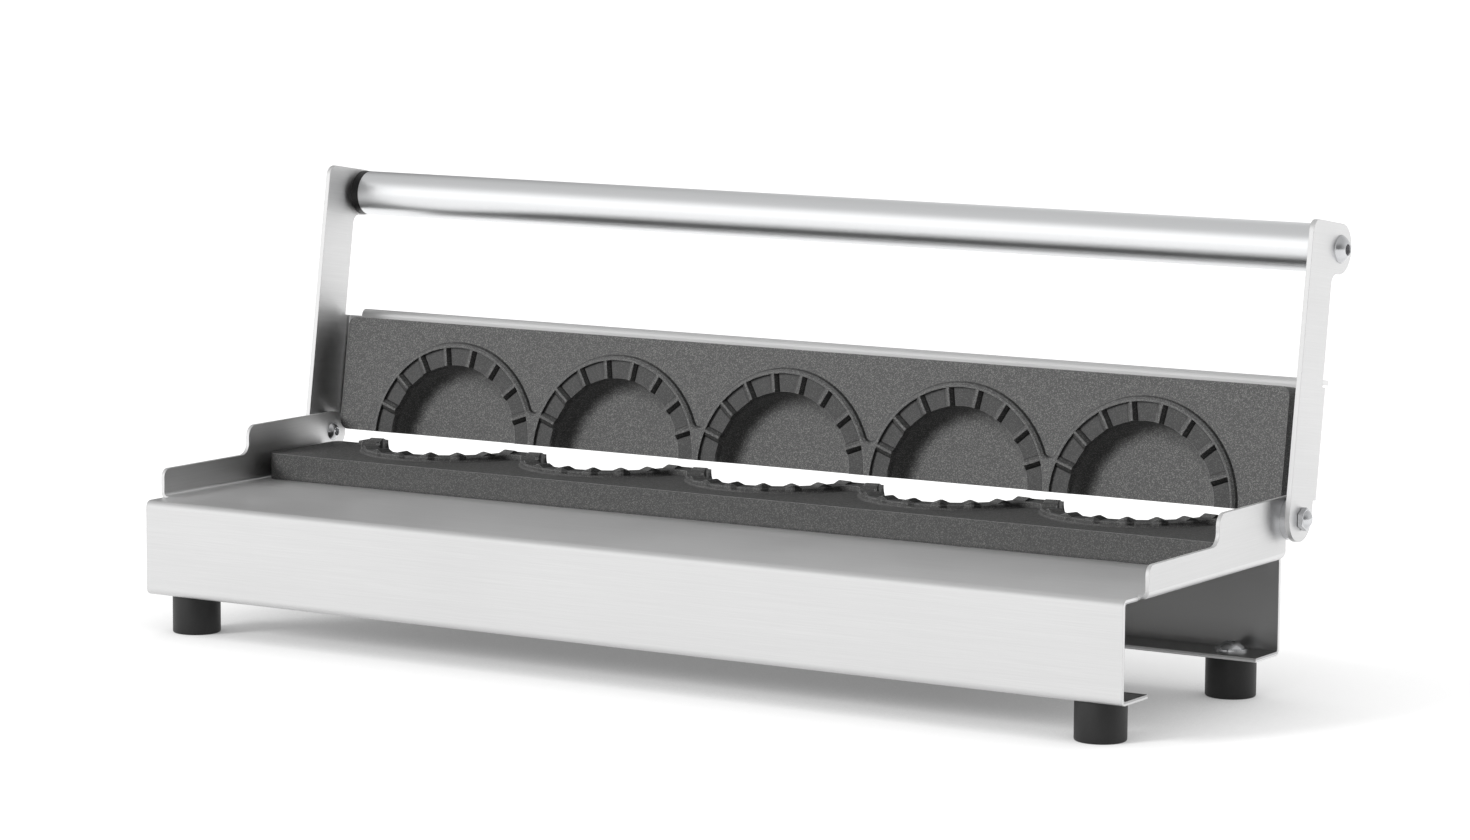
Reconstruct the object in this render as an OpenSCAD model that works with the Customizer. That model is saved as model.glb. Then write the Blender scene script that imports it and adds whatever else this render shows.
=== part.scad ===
// Dumpling press for a kitchen bench. A folded sheet tray on four rubber feet
// carries the lower mould. A folded sheet lid with a tube handle turns on two side
// pivots and carries the upper mould. Each mould has a row of half-round bays: the
// lips of the upper one close just outside the rings of the lower one, and the ribs
// of the two interleave, so that a folded disc of dough is pinched along its rim.
//
// X runs along the row of bays, Y to the rear and Z up. The origin is on the bench,
// below the middle of the whole press with its lid open. Millimetres throughout.

/* [Bays] */
// Number of half-round bays in each mould
bay_count = 5; // [3:1:6]
// Distance between the centres of neighbouring bays
bay_pitch = 104; // [104:1:120]
// Plain plate from the last bay's cell to the end of a mould
bay_margin = 24; // [20:1:40]
// Distance from the hinge side edge of a mould out to the bays' centres
bay_back = 1.4; // [0.4:0.1:2]
// Radius of the half bowl at its rim
bowl_r = 40.8; // [37:0.2:41.2]
// Depth of the half bowl below its rim
bowl_depth = 12.4; // [10:0.2:12.6]
// Radius between the bowl's wall and its floor
bowl_fillet = 11; // [6:0.5:12]

/* [Crimping rings] */
// Width of the crest round each lower bowl
ring_w = 7.8; // [7:0.2:8.4]
// Height of the lower ring above its plate
ring_h = 3; // [2.4:0.1:3.4]
// Radius of the fillet at the foot of the lower ring
ring_fillet = 1.2; // [0.6:0.1:1.4]
// Chamfer round the outside of the ring's crest
ring_edge = 0.5; // [0.2:0.1:0.8]
// Reach of the webs between neighbouring rings from the hinge side edge
ring_web = 12; // [9:0.5:16]
// Number of pads that the ribs divide a half ring into
pad_count = 9; // [7:1:10]
// Height of every crimping rib
rib_h = 1.4; // [1:0.1:1.6]
// Width of a lower rib at its foot
lower_rib = 8.4; // [6:0.2:9]
// Width of an upper rib at its foot
upper_rib = 6; // [4:0.2:6.6]
// Width of the flat on top of a rib
rib_crest = 1.2; // [0.6:0.1:1.6]
// Gap left for the dough between the closed moulds
crimp_gap = 0.5; // [0.4:0.1:1.2]

/* [Upper lips] */
// Radial room between a lower ring and the lip that closes outside it
lip_play = 1.7; // [1.3:0.1:2]
// Width of the flat crest of a lip
lip_crest = 0.9; // [0.6:0.1:1.4]
// Radial length of the slope outside a lip
lip_slope = 2.4; // [2:0.1:3]
// Height of the pads inside a lip above the upper face
pad_rise = 0.9; // [0.5:0.1:1.2]
// Reach of the webs between neighbouring lips from the hinge side edge
lip_web = 18; // [14:0.5:21]

/* [Moulds] */
// Depth of both moulds, from the hinge side edge
mould_d = 61.6; // [60:0.2:68]
// Thickness of the lower mould's plate
lower_t = 13.9; // [13:0.1:16]
// Thickness of the upper mould's plate
upper_t = 13.4; // [12.8:0.1:16]
// Corner radius of the moulds in plan
mould_corner = 5; // [2:0.5:8]
// Distance of the hinge side edges from the hinge line
edge_gap = 2; // [1.6:0.1:2.6]
// Distance of the upper face behind the hinge line
face_in = 1.1; // [0.6:0.1:1.6]

/* [Tray] */
// Depth of the tray from front wall to rear wall
tray_d = 166; // [150:1:190]
// Height of the tray from the feet to the deck
tray_h = 49.5; // [42:0.5:60]
// Sheet thickness of the tray
sheet = 2; // [1.5:0.1:2.5]
// Outer radius of the long folds
fold_r = 3.5; // [3:0.1:4.5]
// Depth of the flanges turned in under the tray
foot_flange = 26; // [25:0.5:32]
// Distance of the hinge line in front of the rear wall's outside
hinge_inset = 1; // [0.5:0.1:3]

/* [Side flanges] */
// Inner radius of the fold between the deck and a side flange
side_fold = 2; // [1.5:0.1:2.5]
// Gap between the ends of the moulds and the side flanges
side_gap = 3.5; // [3.4:0.1:6]
// Distance of a flange's front end behind the front wall
side_setback = 17.7; // [14:0.1:30]
// Height of the low front step above the deck
side_low = 14.3; // [12:0.1:15]
// Distance of the riser behind the middle of the tray
riser_back = 6.8; // [0:0.1:14]
// Radius of both curves of the riser
riser_r = 6; // [4:0.1:6.5]
// Radius of the front top corner of a flange
side_corner = 4.5; // [2:0.1:6]
// Radius of the round ear about the pivot
ear_r = 10.9; // [9.5:0.1:12]
// Width of the relief notch beside the fold
notch_w = 3; // [2:0.1:5]

/* [Feet] */
// Radius of a rubber foot
foot_r = 12.5; // [11:0.1:12.8]
// Height of a rubber foot
foot_h = 20; // [15:0.5:28]
// Distance of a foot's centre from the tray's end
foot_end = 19.5; // [17:0.5:40]
// Distance of a front foot's centre behind the front wall
foot_front = 16.8; // [16.5:0.1:20]
// Distance of a rear foot's centre in front of the rear wall
foot_rear = 13.2; // [13:0.1:16.4]
// Edge radius at the bottom of a foot
foot_edge = 1; // [0.5:0.1:2]
// Radius of a foot washer
foot_washer_r = 8; // [7.5:0.1:9]
// Thickness of a foot washer
foot_washer_t = 1.6; // [1:0.1:2]
// Radius of a foot screw's head
foot_head_r = 6.5; // [5.5:0.1:7]
// Height of a foot screw's head
foot_head_h = 3.6; // [2.5:0.1:4.5]

/* [Lid] */
// Lean of the open lid behind the vertical
lean = 8.63; // [4:0.01:14]
// Sheet thickness of the lid
lid_sheet = 2.5; // [2:0.1:3]
// Inner radius of the lid's folds
lid_fold = 1; // [0.8:0.1:2]
// Width of an arm
arm_w = 25; // [22:0.5:30]
// Distance of an arm's rear edge behind the hinge line
arm_back = 10.9; // [9.5:0.1:12]
// Distance from the hinge line to the top of an arm
arm_top = 145.2; // [130:0.1:180]
// Distance from the hinge line to the lower end of an arm
arm_foot = 11.4; // [10.5:0.1:13]
// Radius of the front top corner of an arm
arm_corner = 6; // [3:0.5:10]
// Distance of the handle's axis behind the hinge line
handle_back = 18.3; // [17:0.1:24]
// Radius of the fillet below the handle
lobe_fillet = 5; // [3:0.5:7]
// Height of the panel's top above the mould
panel_over = 5.1; // [4.5:0.1:12]
// Depth of the flange turned back at the panel's top
panel_flange = 26.5; // [15:0.5:32]
// Distance of each side fold's lower end above the mould's edge
fold_low = 7.3; // [6:0.1:14]
// Width of the notch between the panel's edge and the mould's end
panel_side = 1.5; // [0.5:0.1:2.5]

/* [Handle] */
// Radius of the handle tube
tube_r = 12; // [10:0.1:12.2]
// Wall of the handle tube
tube_wall = 1.5; // [1:0.1:2]
// Metal left round the tube at the arm's lobe
lobe_rim = 0.5; // [0.3:0.1:2]
// Thickness of the collar at each end of the tube
collar_t = 4.5; // [3:0.1:8]
// Length of a collar's spigot inside the tube
spigot_l = 8; // [5:0.5:14]
// Length of the threaded plug beyond the spigot
plug_l = 16; // [12:0.5:24]
// Room between the tube's bore and what fits in it
tube_play = 0.1; // [0.05:0.01:0.2]
// Radius of a handle screw
handle_screw_r = 4; // [3:0.1:4.5]
// Radius of a handle screw's head
handle_head_r = 7; // [6:0.1:7.5]
// Height of a handle screw's head
handle_head_h = 4.4; // [3:0.1:5]

/* [Pivots] */
// Thickness of the spacer between a side flange and an arm
spacer_t = 4.5; // [3:0.1:6]
// Radius of that spacer
spacer_r = 10.5; // [8:0.1:10.8]
// Sideways play of an arm on its pivot
pivot_play = 0.1; // [0.05:0.01:0.2]
// Radius of a pivot screw
pivot_r = 3; // [2.5:0.1:4]
// Running clearance round a pivot screw
pivot_fit = 0.05; // [0.03:0.01:0.1]
// Radius of a pivot screw's head
pivot_head_r = 5; // [4.8:0.1:6]
// Height of a pivot screw's head
pivot_head_h = 2.7; // [2:0.1:3]
// Width across the flats of a cap nut
nut_af = 10; // [9:0.1:13]
// Height of a cap nut's hexagon
nut_h = 2.8; // [2.4:0.1:5]
// Height of the dome on a cap nut
nut_dome = 2.4; // [2:0.1:4]

/* [Mould screws] */
// Radius of the screws that hold the moulds
screw_r = 3; // [2.5:0.1:3.5]
// Radius of their heads
screw_head_r = 5.5; // [5:0.1:6.5]
// Height of their heads
screw_head_h = 3.3; // [2.5:0.1:4]
// Depth of the holes that take screws in moulds and feet
screw_bite = 9; // [7:0.5:11]
// Room round a screw's shank
screw_fit = 0.05; // [0.03:0.01:0.1]
// Distance of the screw row from the hinge side edge
screw_row = 50; // [46:0.5:54]
// Distance of the end screws from a mould's end
screw_end = 12; // [9:0.5:16]

/* [Hidden] */
$fn = 96;

// Colours as the press shows them
STEEL = [0.78, 0.79, 0.80];
BRIGHT = [0.86, 0.87, 0.88];
COATING = [0.13, 0.13, 0.14];
RUBBER = [0.08, 0.08, 0.08];
POLYMER = [0.10, 0.10, 0.11];

// A cut runs this far past the face it opens
over = 1;
// Pieces of one solid sink this far into each other
sink = 0.4;

// Width of a socket as a share of its screw head's radius, and the share of the
// head's height left below it
socket_w = 0.83;
socket_floor = 0.4;
// Radius of a cap nut's dome as a share of the nut's width
nut_round = 0.46;

// Length of a mould, and where things stand along X
mould_w = bay_count * bay_pitch + 2 * bay_margin;
flange_in = mould_w / 2 + side_gap;
flange_out = flange_in + sheet;
tray_w = 2 * (flange_in - side_fold);
arm_in = flange_out + spacer_t + pivot_play;
arm_out = arm_in + lid_sheet;
tube_half = arm_in - collar_t;
panel_half = mould_w / 2 + panel_side;

// Rings and lips: a lip ends level with the upper ribs
ring_out = bowl_r + ring_w;
lip_in = ring_out + lip_play;
lip_out = lip_in + lip_crest;
lip_foot = lip_out + lip_slope;
lip_h = pad_rise + rib_h;
rib_step = 180 / pad_count;

// Heights: the closed upper ribs stop one gap above the lower rings
deck_z = foot_h + tray_h;
plate_z = deck_z + lower_t;
hinge_z = plate_z + ring_h + crimp_gap + lip_h - face_in;
low_z = deck_z + side_low;
high_z = hinge_z + ear_r;

// The lid's own frame has its origin on the hinge line, Y to the rear and Z along
// the arms
mould_back = upper_t + face_in;
panel_back = mould_back + lid_sheet;
panel_top = edge_gap + mould_d + panel_over;
fold_top = edge_gap + mould_d + lid_fold;
panel_fold = lid_fold + lid_sheet;
lobe_r = tube_r + lobe_rim;
handle_up = arm_top - lobe_r;
flange_back = mould_back + panel_flange;

// Depth of the whole press, and where things stand along Y
lobe_reach = handle_up * sin(lean) + handle_back * cos(lean) + lobe_r;
flange_reach = panel_top * sin(lean) + flange_back * cos(lean);
rear_reach = max(lobe_reach, flange_reach) - hinge_inset;
front_y = -(tray_d + rear_reach) / 2;
back_y = front_y + tray_d;
mid_y = (front_y + back_y) / 2;
hinge_y = back_y - hinge_inset;
mould_y = hinge_y - edge_gap;
side_front = front_y + side_setback;
side_rear = back_y - fold_r;
riser_y = mid_y + riser_back;
foot_ys = [front_y + foot_front, back_y - foot_rear];
foot_x = tray_w / 2 - foot_end;

// Bays, the lines between them, both ends of the row, and the screws, all in a
// mould's own frame
row_w = bay_count * bay_pitch;
bay_xs = [for (i = [0 : bay_count - 1]) (i - (bay_count - 1) / 2) * bay_pitch];
web_xs = [for (i = [1 : bay_count - 1]) i * bay_pitch - row_w / 2];
row_xs = [for (i = [0 : bay_count]) i * bay_pitch - row_w / 2];
screw_spots = concat(
    [for (x = web_xs) [x, screw_row]],
    [for (s = [-1, 1]) [s * (mould_w / 2 - screw_end), screw_end]]
);

// The hollow of a web is this much wider than one that only touches the rings
hollow_ease = 1.05;

// Shared shapes

// Rectangle from a to b with its four corners rounded by r
module round_rect(a, b, r) {
    translate([a.x + r, a.y]) square([b.x - a.x - 2 * r, b.y - a.y]);
    translate([a.x, a.y + r]) square([b.x - a.x, b.y - a.y - 2 * r]);
    for (x = [a.x + r, b.x - r])
        for (y = [a.y + r, b.y - r])
            translate([x, y]) circle(r);
}

// Quarter ring between two radii, from +X round to +Y
module quarter_ring(r_in, r_out) {
    intersection() {
        difference() {
            circle(r_out);
            circle(r_in);
        }
        square(r_out + over);
    }
}

// What fills an inner corner at the origin, rounded by r
module inner_corner(r) {
    difference() {
        translate([-sink, -sink]) square(r + sink);
        translate([r, r]) circle(r);
    }
}

// What an outer corner at the origin loses when it is rounded by r
module outer_corner(r) {
    difference() {
        translate([-over, -over]) square(r + over);
        translate([r, r]) circle(r);
    }
}

// Stands a side view, drawn in Y and Z, up between X = 0 and X = width
module side_view(width) {
    rotate([90, 0, 90]) linear_extrude(width) children();
}

// Cap of a ball, of radius r and height h, on Z = 0
module dome(r, h) {
    ball = (r * r + h * h) / (2 * h);
    intersection() {
        translate([0, 0, h - ball]) sphere(ball);
        cylinder(r = r, h = h);
    }
}

// Screw along Z: a domed socket head on Z = 0 and the shank below
module dome_screw(r, length, head_r, head_h) {
    difference() {
        dome(head_r, head_h);
        translate([0, 0, head_h * socket_floor])
            cylinder(d = head_r * socket_w, h = head_h, $fn = 6);
    }
    translate([0, 0, -length]) cylinder(r = r, h = length + sink);
}

// Ring about Z between two radii
module ring(r_in, r_out, h) {
    difference() {
        cylinder(r = r_out, h = h);
        translate([0, 0, -over]) cylinder(r = r_in, h = h + 2 * over);
    }
}

// Places children on the hinge line at distance x, with Z outwards at end s
module at_pivot(s, x) {
    translate([s * x, hinge_y, hinge_z]) rotate([0, s * 90, 0]) children();
}

// Places children given in the lid's own frame
module in_lid() {
    translate([0, hinge_y, hinge_z]) rotate([-lean, 0, 0]) children();
}

// Places children on the handle's axis at distance x, with Z outwards at end s
module at_handle(s, x) {
    in_lid()
        translate([s * x, handle_back, handle_up]) rotate([0, s * 90, 0]) children();
}

// Places a mould, drawn with Y from its hinge side edge and Z towards its face
module on_deck() {
    translate([0, mould_y, deck_z]) rotate([0, 0, 180]) children();
}

module on_panel() {
    in_lid() translate([0, mould_back, edge_gap]) rotate([90, 0, 0]) children();
}

// Moulds

// Plate of a mould
module mould_plate(t) {
    linear_extrude(t) round_rect([-mould_w / 2, 0], [mould_w / 2, mould_d], mould_corner);
}

// Bowl to be cut, with its rim at Z = 0 and an open way above it
module bowl_cut(way) {
    wall = bowl_depth - bowl_fillet + way;
    rotate_extrude()
        intersection() {
            union() {
                translate([0, -bowl_depth]) square([bowl_r - bowl_fillet, bowl_depth + way]);
                translate([0, bowl_fillet - bowl_depth]) square([bowl_r, wall]);
                translate([bowl_r - bowl_fillet, bowl_fillet - bowl_depth]) circle(bowl_fillet);
            }
            translate([0, -bowl_depth - over]) square([bowl_r, bowl_depth + way + over]);
        }
}

// One crimping rib along a radius, standing on Z = 0 on a foot of width base
module rib(base, from_r, to_r) {
    translate([from_r, 0, 0])
        rotate([90, 0, 90])
            linear_extrude(to_r - from_r)
                polygon([
                    [-base / 2, -sink], [-base / 2, 0], [-rib_crest / 2, rib_h],
                    [rib_crest / 2, rib_h], [base / 2, 0], [base / 2, -sink]
                ]);
}

// A number of ribs round a bay; first is in steps from the hinge side edge
module rib_fan(first, count, base, from_r, to_r) {
    for (i = [0 : count - 1])
        rotate([0, 0, (first + i) * rib_step]) rib(base, from_r, to_r);
}

// Radius of the hollow that ends a web and just overlaps both circles of radius out
function hollow_r(out, reach) =
    let (up = reach + bay_back)
        hollow_ease * (pow(bay_pitch / 2, 2) + up * up - out * out) / (2 * (out - up));

// Web between two circles of radius out, from the hinge side edge to its hollow
// end, which opens upwards by slope over the height h
module web(h, reach, out, slope) {
    half = bay_pitch / 2 - bowl_r;
    r = hollow_r(out, reach);
    difference() {
        translate([-half, 0, -sink]) cube([2 * half, reach + r / 2, h + sink]);
        translate([0, reach + r, 0])
            rotate_extrude()
                polygon([
                    [0, -sink - over], [r, -sink - over], [r, 0],
                    [r + slope * (h + over) / h, h + over], [0, h + over]
                ]);
    }
}

// Blind holes for the screws, from the back of a mould
module screw_holes() {
    for (p = screw_spots)
        translate([p.x, p.y, -over]) cylinder(r = screw_r + screw_fit, h = screw_bite + over);
}

// Screws through a sheet of thickness t into the back of a mould
module mould_screws(t) {
    for (p = screw_spots)
        translate([p.x, p.y, -t])
            rotate([180, 0, 0])
                dome_screw(screw_r, t + screw_bite - over, screw_head_r, screw_head_h);
}

// The part of a solid that lies over the mould's own plate
module over_plate(height) {
    intersection() {
        children();
        translate([-mould_w / 2, 0, 0]) cube([mould_w, mould_d, height]);
    }
}

// Ring round one lower bowl: a flat crest, an upright wall and a filleted foot
module lower_ring() {
    rotate_extrude()
        difference() {
            translate([0, -sink]) square([ring_out + ring_fillet, sink + ring_h]);
            translate([ring_out, ring_fillet]) square([ring_fillet + over, ring_h]);
            translate([ring_out + ring_fillet, ring_fillet]) circle(ring_fillet);
            translate([ring_out, ring_h])
                polygon([[-ring_edge, over], [-ring_edge, 0], [0, -ring_edge], [over, over]]);
        }
}

// Places children at the centre of every bay, at height z
module at_bays(z) {
    for (x = bay_xs) translate([x, -bay_back, z]) children();
}

// Webs between the rings, with half a web outside both end rings
module ring_webs() {
    intersection() {
        for (x = row_xs) translate([x, 0, 0]) web(ring_h, ring_web, ring_out, 0);
        translate([-row_w / 2, 0, -sink]) cube([row_w, mould_d, ring_h + sink]);
    }
}

module lower_mould_shape() {
    rim = lower_t + ring_h;
    difference() {
        union() {
            mould_plate(lower_t);
            over_plate(rim + rib_h + over) {
                at_bays(lower_t) lower_ring();
                at_bays(rim)
                    rib_fan(0.5, pad_count, lower_rib, bowl_r - over, ring_out - ring_edge);
                translate([0, 0, lower_t]) ring_webs();
            }
        }
        at_bays(rim) bowl_cut(rib_h + over);
        screw_holes();
    }
}

// Lip round one upper bay: a flat crest and a slope down to the face
module upper_lip() {
    rotate_extrude()
        polygon([[0, -sink], [lip_foot, -sink], [lip_foot, 0], [lip_out, lip_h], [0, lip_h]]);
}

module upper_mould_shape() {
    rim = upper_t + pad_rise;
    difference() {
        union() {
            mould_plate(upper_t);
            over_plate(upper_t + lip_h + over) {
                at_bays(upper_t) upper_lip();
                for (x = web_xs)
                    translate([x, 0, upper_t]) web(lip_h, lip_web, lip_foot, lip_slope);
            }
        }
        at_bays(rim) {
            cylinder(r = lip_in, h = rib_h + over);
            bowl_cut(over);
        }
        screw_holes();
    }
    at_bays(rim)
        difference() {
            rib_fan(1, pad_count - 1, upper_rib, bowl_r - over, lip_in + sink);
            bowl_cut(rib_h + over);
        }
}

// Tray

// Section across the tray: deck, front and rear walls, flanges turned in
module tray_section() {
    difference() {
        round_rect([front_y, foot_h], [back_y, deck_z], fold_r);
        round_rect(
            [front_y + sheet, foot_h + sheet], [back_y - sheet, deck_z - sheet],
            fold_r - sheet
        );
        translate([front_y + foot_flange, foot_h - over])
            square([tray_d - 2 * foot_flange, sheet + 2 * over]);
    }
}

// Outline of a side flange: low step, riser, high step and the ear about the pivot
module flange_outline() {
    base = deck_z - sheet;
    difference() {
        union() {
            translate([side_front, base]) square([side_rear - side_front, low_z - base]);
            translate([riser_y, low_z - sink])
                square([hinge_y - riser_y, high_z - low_z + sink]);
            translate([riser_y, low_z]) mirror([1, 0]) inner_corner(riser_r);
        }
        translate([side_front, low_z]) mirror([0, 1]) outer_corner(side_corner);
        translate([riser_y, high_z]) mirror([0, 1]) outer_corner(riser_r);
        translate([side_rear, base]) mirror([1, 0]) outer_corner(side_corner);
    }
    translate([hinge_y, hinge_z]) circle(ear_r);
}

// Section of a side flange, from the deck's end at X = 0: the fold and the upright
module flange_section() {
    translate([0, deck_z + side_fold])
        mirror([0, 1]) quarter_ring(side_fold, side_fold + sheet);
    translate([side_fold, deck_z + side_fold])
        square([sheet, high_z - deck_z - side_fold]);
}

module right_flange() {
    translate([tray_w / 2, 0, 0])
        intersection() {
            translate([0, back_y + ear_r, 0])
                rotate([90, 0, 0]) linear_extrude(tray_d + ear_r) flange_section();
            side_view(side_fold + sheet + over) flange_outline();
        }
}

module base_tray() {
    color(STEEL)
        difference() {
            union() {
                translate([-tray_w / 2, 0, 0]) side_view(tray_w) tray_section();
                right_flange();
                mirror([1, 0, 0]) right_flange();
            }
            for (s = [-1, 1]) {
                translate([s * tray_w / 2, side_front - notch_w / 2, deck_z - sheet - over])
                    cylinder(d = notch_w, h = sheet + 2 * over);
                at_pivot(s, flange_in - over)
                    cylinder(r = pivot_r + pivot_fit, h = sheet + 2 * over);
            }
            for (x = [-foot_x, foot_x])
                for (y = foot_ys)
                    translate([x, y, foot_h - over])
                        cylinder(r = screw_r + screw_fit, h = sheet + 2 * over);
            translate([0, 0, -sheet]) on_deck() screw_holes();
        }
}

// Feet

// Rubber foot below the tray, with a blind hole for its screw
module foot(x, y) {
    color(RUBBER)
        translate([x, y, 0])
            difference() {
                union() {
                    cylinder(r = foot_r - foot_edge, h = foot_h);
                    translate([0, 0, foot_edge]) {
                        cylinder(r = foot_r, h = foot_h - foot_edge);
                        rotate_extrude() translate([foot_r - foot_edge, 0]) circle(foot_edge);
                    }
                }
                translate([0, 0, foot_h - screw_bite])
                    cylinder(r = screw_r + screw_fit, h = screw_bite + over);
            }
}

module foot_front_left() {
    foot(-foot_x, foot_ys[0]);
}

module foot_front_right() {
    foot(foot_x, foot_ys[0]);
}

module foot_rear_left() {
    foot(-foot_x, foot_ys[1]);
}

module foot_rear_right() {
    foot(foot_x, foot_ys[1]);
}

// Places children on the flange above each foot
module over_feet(z) {
    for (x = [-foot_x, foot_x])
        for (y = foot_ys)
            translate([x, y, foot_h + sheet + z]) children();
}

module foot_washers() {
    color(STEEL) over_feet(0) ring(screw_r + screw_fit, foot_washer_r, foot_washer_t);
}

module foot_screws() {
    color(BRIGHT)
        over_feet(foot_washer_t)
            dome_screw(
                screw_r, foot_washer_t + sheet + screw_bite - over, foot_head_r, foot_head_h
            );
}

// Lower mould and pivots

module lower_mould() {
    color(COATING) on_deck() lower_mould_shape();
}

module lower_mould_screws() {
    color(BRIGHT) on_deck() mould_screws(sheet);
}

module pivot_spacer(s) {
    color(STEEL) at_pivot(s, flange_out) ring(pivot_r + pivot_fit, spacer_r, spacer_t);
}

module pivot_spacer_left() {
    pivot_spacer(-1);
}

module pivot_spacer_right() {
    pivot_spacer(1);
}

module pivot_screws() {
    reach = arm_out + pivot_play + nut_h - flange_in;
    color(BRIGHT)
        for (s = [-1, 1])
            at_pivot(s, flange_in)
                rotate([180, 0, 0]) dome_screw(pivot_r, reach, pivot_head_r, pivot_head_h);
}

// Cap nut on Z = 0: a hexagon with its top corners taken off, and a dome
module cap_nut() {
    corner = nut_af / 2 / cos(30);
    difference() {
        union() {
            intersection() {
                cylinder(r = corner, h = nut_h, $fn = 6);
                cylinder(r1 = corner + nut_h / 2, r2 = nut_af / 2, h = nut_h);
            }
            translate([0, 0, nut_h - sink]) dome(nut_af * nut_round, nut_dome + sink);
        }
        translate([0, 0, -over]) cylinder(r = pivot_r + pivot_fit, h = nut_h + 2 * over);
    }
}

module pivot_nuts() {
    color(BRIGHT)
        for (s = [-1, 1]) at_pivot(s, arm_out + pivot_play) cap_nut();
}

// Lid

// Outline of an arm: round foot, straight edges and a lobe behind for the handle
module arm_outline() {
    half = arm_w / 2;
    front = arm_back - arm_w;
    lobe_low = handle_up - lobe_r;
    difference() {
        union() {
            translate([front + half, half - arm_foot]) circle(half);
            translate([front, half - arm_foot])
                square([arm_w, arm_top - half + arm_foot]);
            translate([front, lobe_low]) square([handle_back - front, 2 * lobe_r]);
            translate([handle_back, handle_up]) circle(lobe_r);
            translate([arm_back, lobe_low]) mirror([0, 1]) inner_corner(lobe_fillet);
            translate([arm_back - sink, edge_gap + fold_low])
                square([mould_back - lid_fold - arm_back + sink, fold_top - edge_gap - fold_low]);
        }
        translate([front, arm_top]) mirror([0, 1]) outer_corner(arm_corner);
        circle(pivot_r + pivot_fit);
        translate([handle_back, handle_up]) circle(handle_screw_r + screw_fit);
    }
}

// Right arm with the fold that joins it to the panel
module right_arm() {
    fold_z = edge_gap + fold_low;
    translate([arm_in, 0, 0]) side_view(lid_sheet) arm_outline();
    translate([arm_in - lid_fold, mould_back - lid_fold, fold_z])
        linear_extrude(fold_top - fold_z) quarter_ring(lid_fold, panel_fold);
    translate([panel_half - sink, mould_back, fold_z])
        cube([arm_in - lid_fold - panel_half + sink, lid_sheet, fold_top - fold_z]);
}

// Section of the back panel with the flange turned back along its top
module panel_section() {
    bend_y = mould_back + panel_fold;
    bend_z = panel_top - panel_fold;
    translate([mould_back, edge_gap]) square([lid_sheet, bend_z - edge_gap]);
    translate([bend_y, bend_z]) mirror([1, 0]) quarter_ring(lid_fold, panel_fold);
    translate([bend_y, panel_top - lid_sheet]) square([flange_back - bend_y, lid_sheet]);
}

module lid_frame() {
    color(STEEL)
        difference() {
            in_lid() {
                right_arm();
                mirror([1, 0, 0]) right_arm();
                translate([-panel_half, 0, 0]) side_view(2 * panel_half) panel_section();
            }
            in_lid()
                translate([0, panel_back, edge_gap])
                    rotate([90, 0, 0]) screw_holes();
        }
}

module upper_mould() {
    color(COATING) on_panel() upper_mould_shape();
}

module upper_mould_screws() {
    color(BRIGHT) on_panel() mould_screws(lid_sheet);
}

// Handle

module handle_tube() {
    color(BRIGHT) at_handle(1, -tube_half) ring(tube_r - tube_wall, tube_r, 2 * tube_half);
}

// Collar of the tube's own diameter with a spigot that enters its bore
module handle_collar(s) {
    color(POLYMER)
        at_handle(s, arm_in)
            difference() {
                union() {
                    translate([0, 0, -collar_t]) cylinder(r = tube_r, h = collar_t);
                    translate([0, 0, -collar_t - spigot_l])
                        cylinder(r = tube_r - tube_wall - tube_play, h = spigot_l + sink);
                }
                translate([0, 0, -collar_t - spigot_l - over])
                    cylinder(r = handle_screw_r + screw_fit, h = collar_t + spigot_l + 2 * over);
            }
}

module handle_collar_left() {
    handle_collar(-1);
}

module handle_collar_right() {
    handle_collar(1);
}

// Threaded plug fixed in the tube behind the spigot
module handle_plug(s) {
    color(STEEL)
        at_handle(s, arm_in - collar_t - spigot_l - plug_l)
            ring(handle_screw_r + screw_fit, tube_r - tube_wall - tube_play, plug_l);
}

module handle_plug_left() {
    handle_plug(-1);
}

module handle_plug_right() {
    handle_plug(1);
}

module handle_screws() {
    reach = lid_sheet + collar_t + spigot_l + plug_l - over;
    color(BRIGHT)
        for (s = [-1, 1])
            at_handle(s, arm_out)
                dome_screw(handle_screw_r, reach, handle_head_r, handle_head_h);
}

base_tray();
foot_front_left();
foot_front_right();
foot_rear_left();
foot_rear_right();
foot_washers();
foot_screws();
lower_mould();
lower_mould_screws();
pivot_screws();
pivot_spacer_left();
pivot_spacer_right();
pivot_nuts();
lid_frame();
upper_mould();
upper_mould_screws();
handle_tube();
handle_collar_left();
handle_collar_right();
handle_plug_left();
handle_plug_right();
handle_screws();
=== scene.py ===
"""Looks of the bench dumpling press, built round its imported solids.

The base is a folded stainless tray on rubber feet with the lower mould. The lid is a
folded stainless frame with the upper mould and the tube handle, and turns on two side
pivots. Solids whose shape is right get a finish; feet, screws and cap nuts are built
again here with the detail that turned and moulded parts have.
"""
from __future__ import annotations

import logging
import math
from dataclasses import dataclass
from enum import Enum
from itertools import count, repeat
from typing import Any, Iterable, Sequence

import bpy
from mathutils import Matrix, Vector


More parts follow.
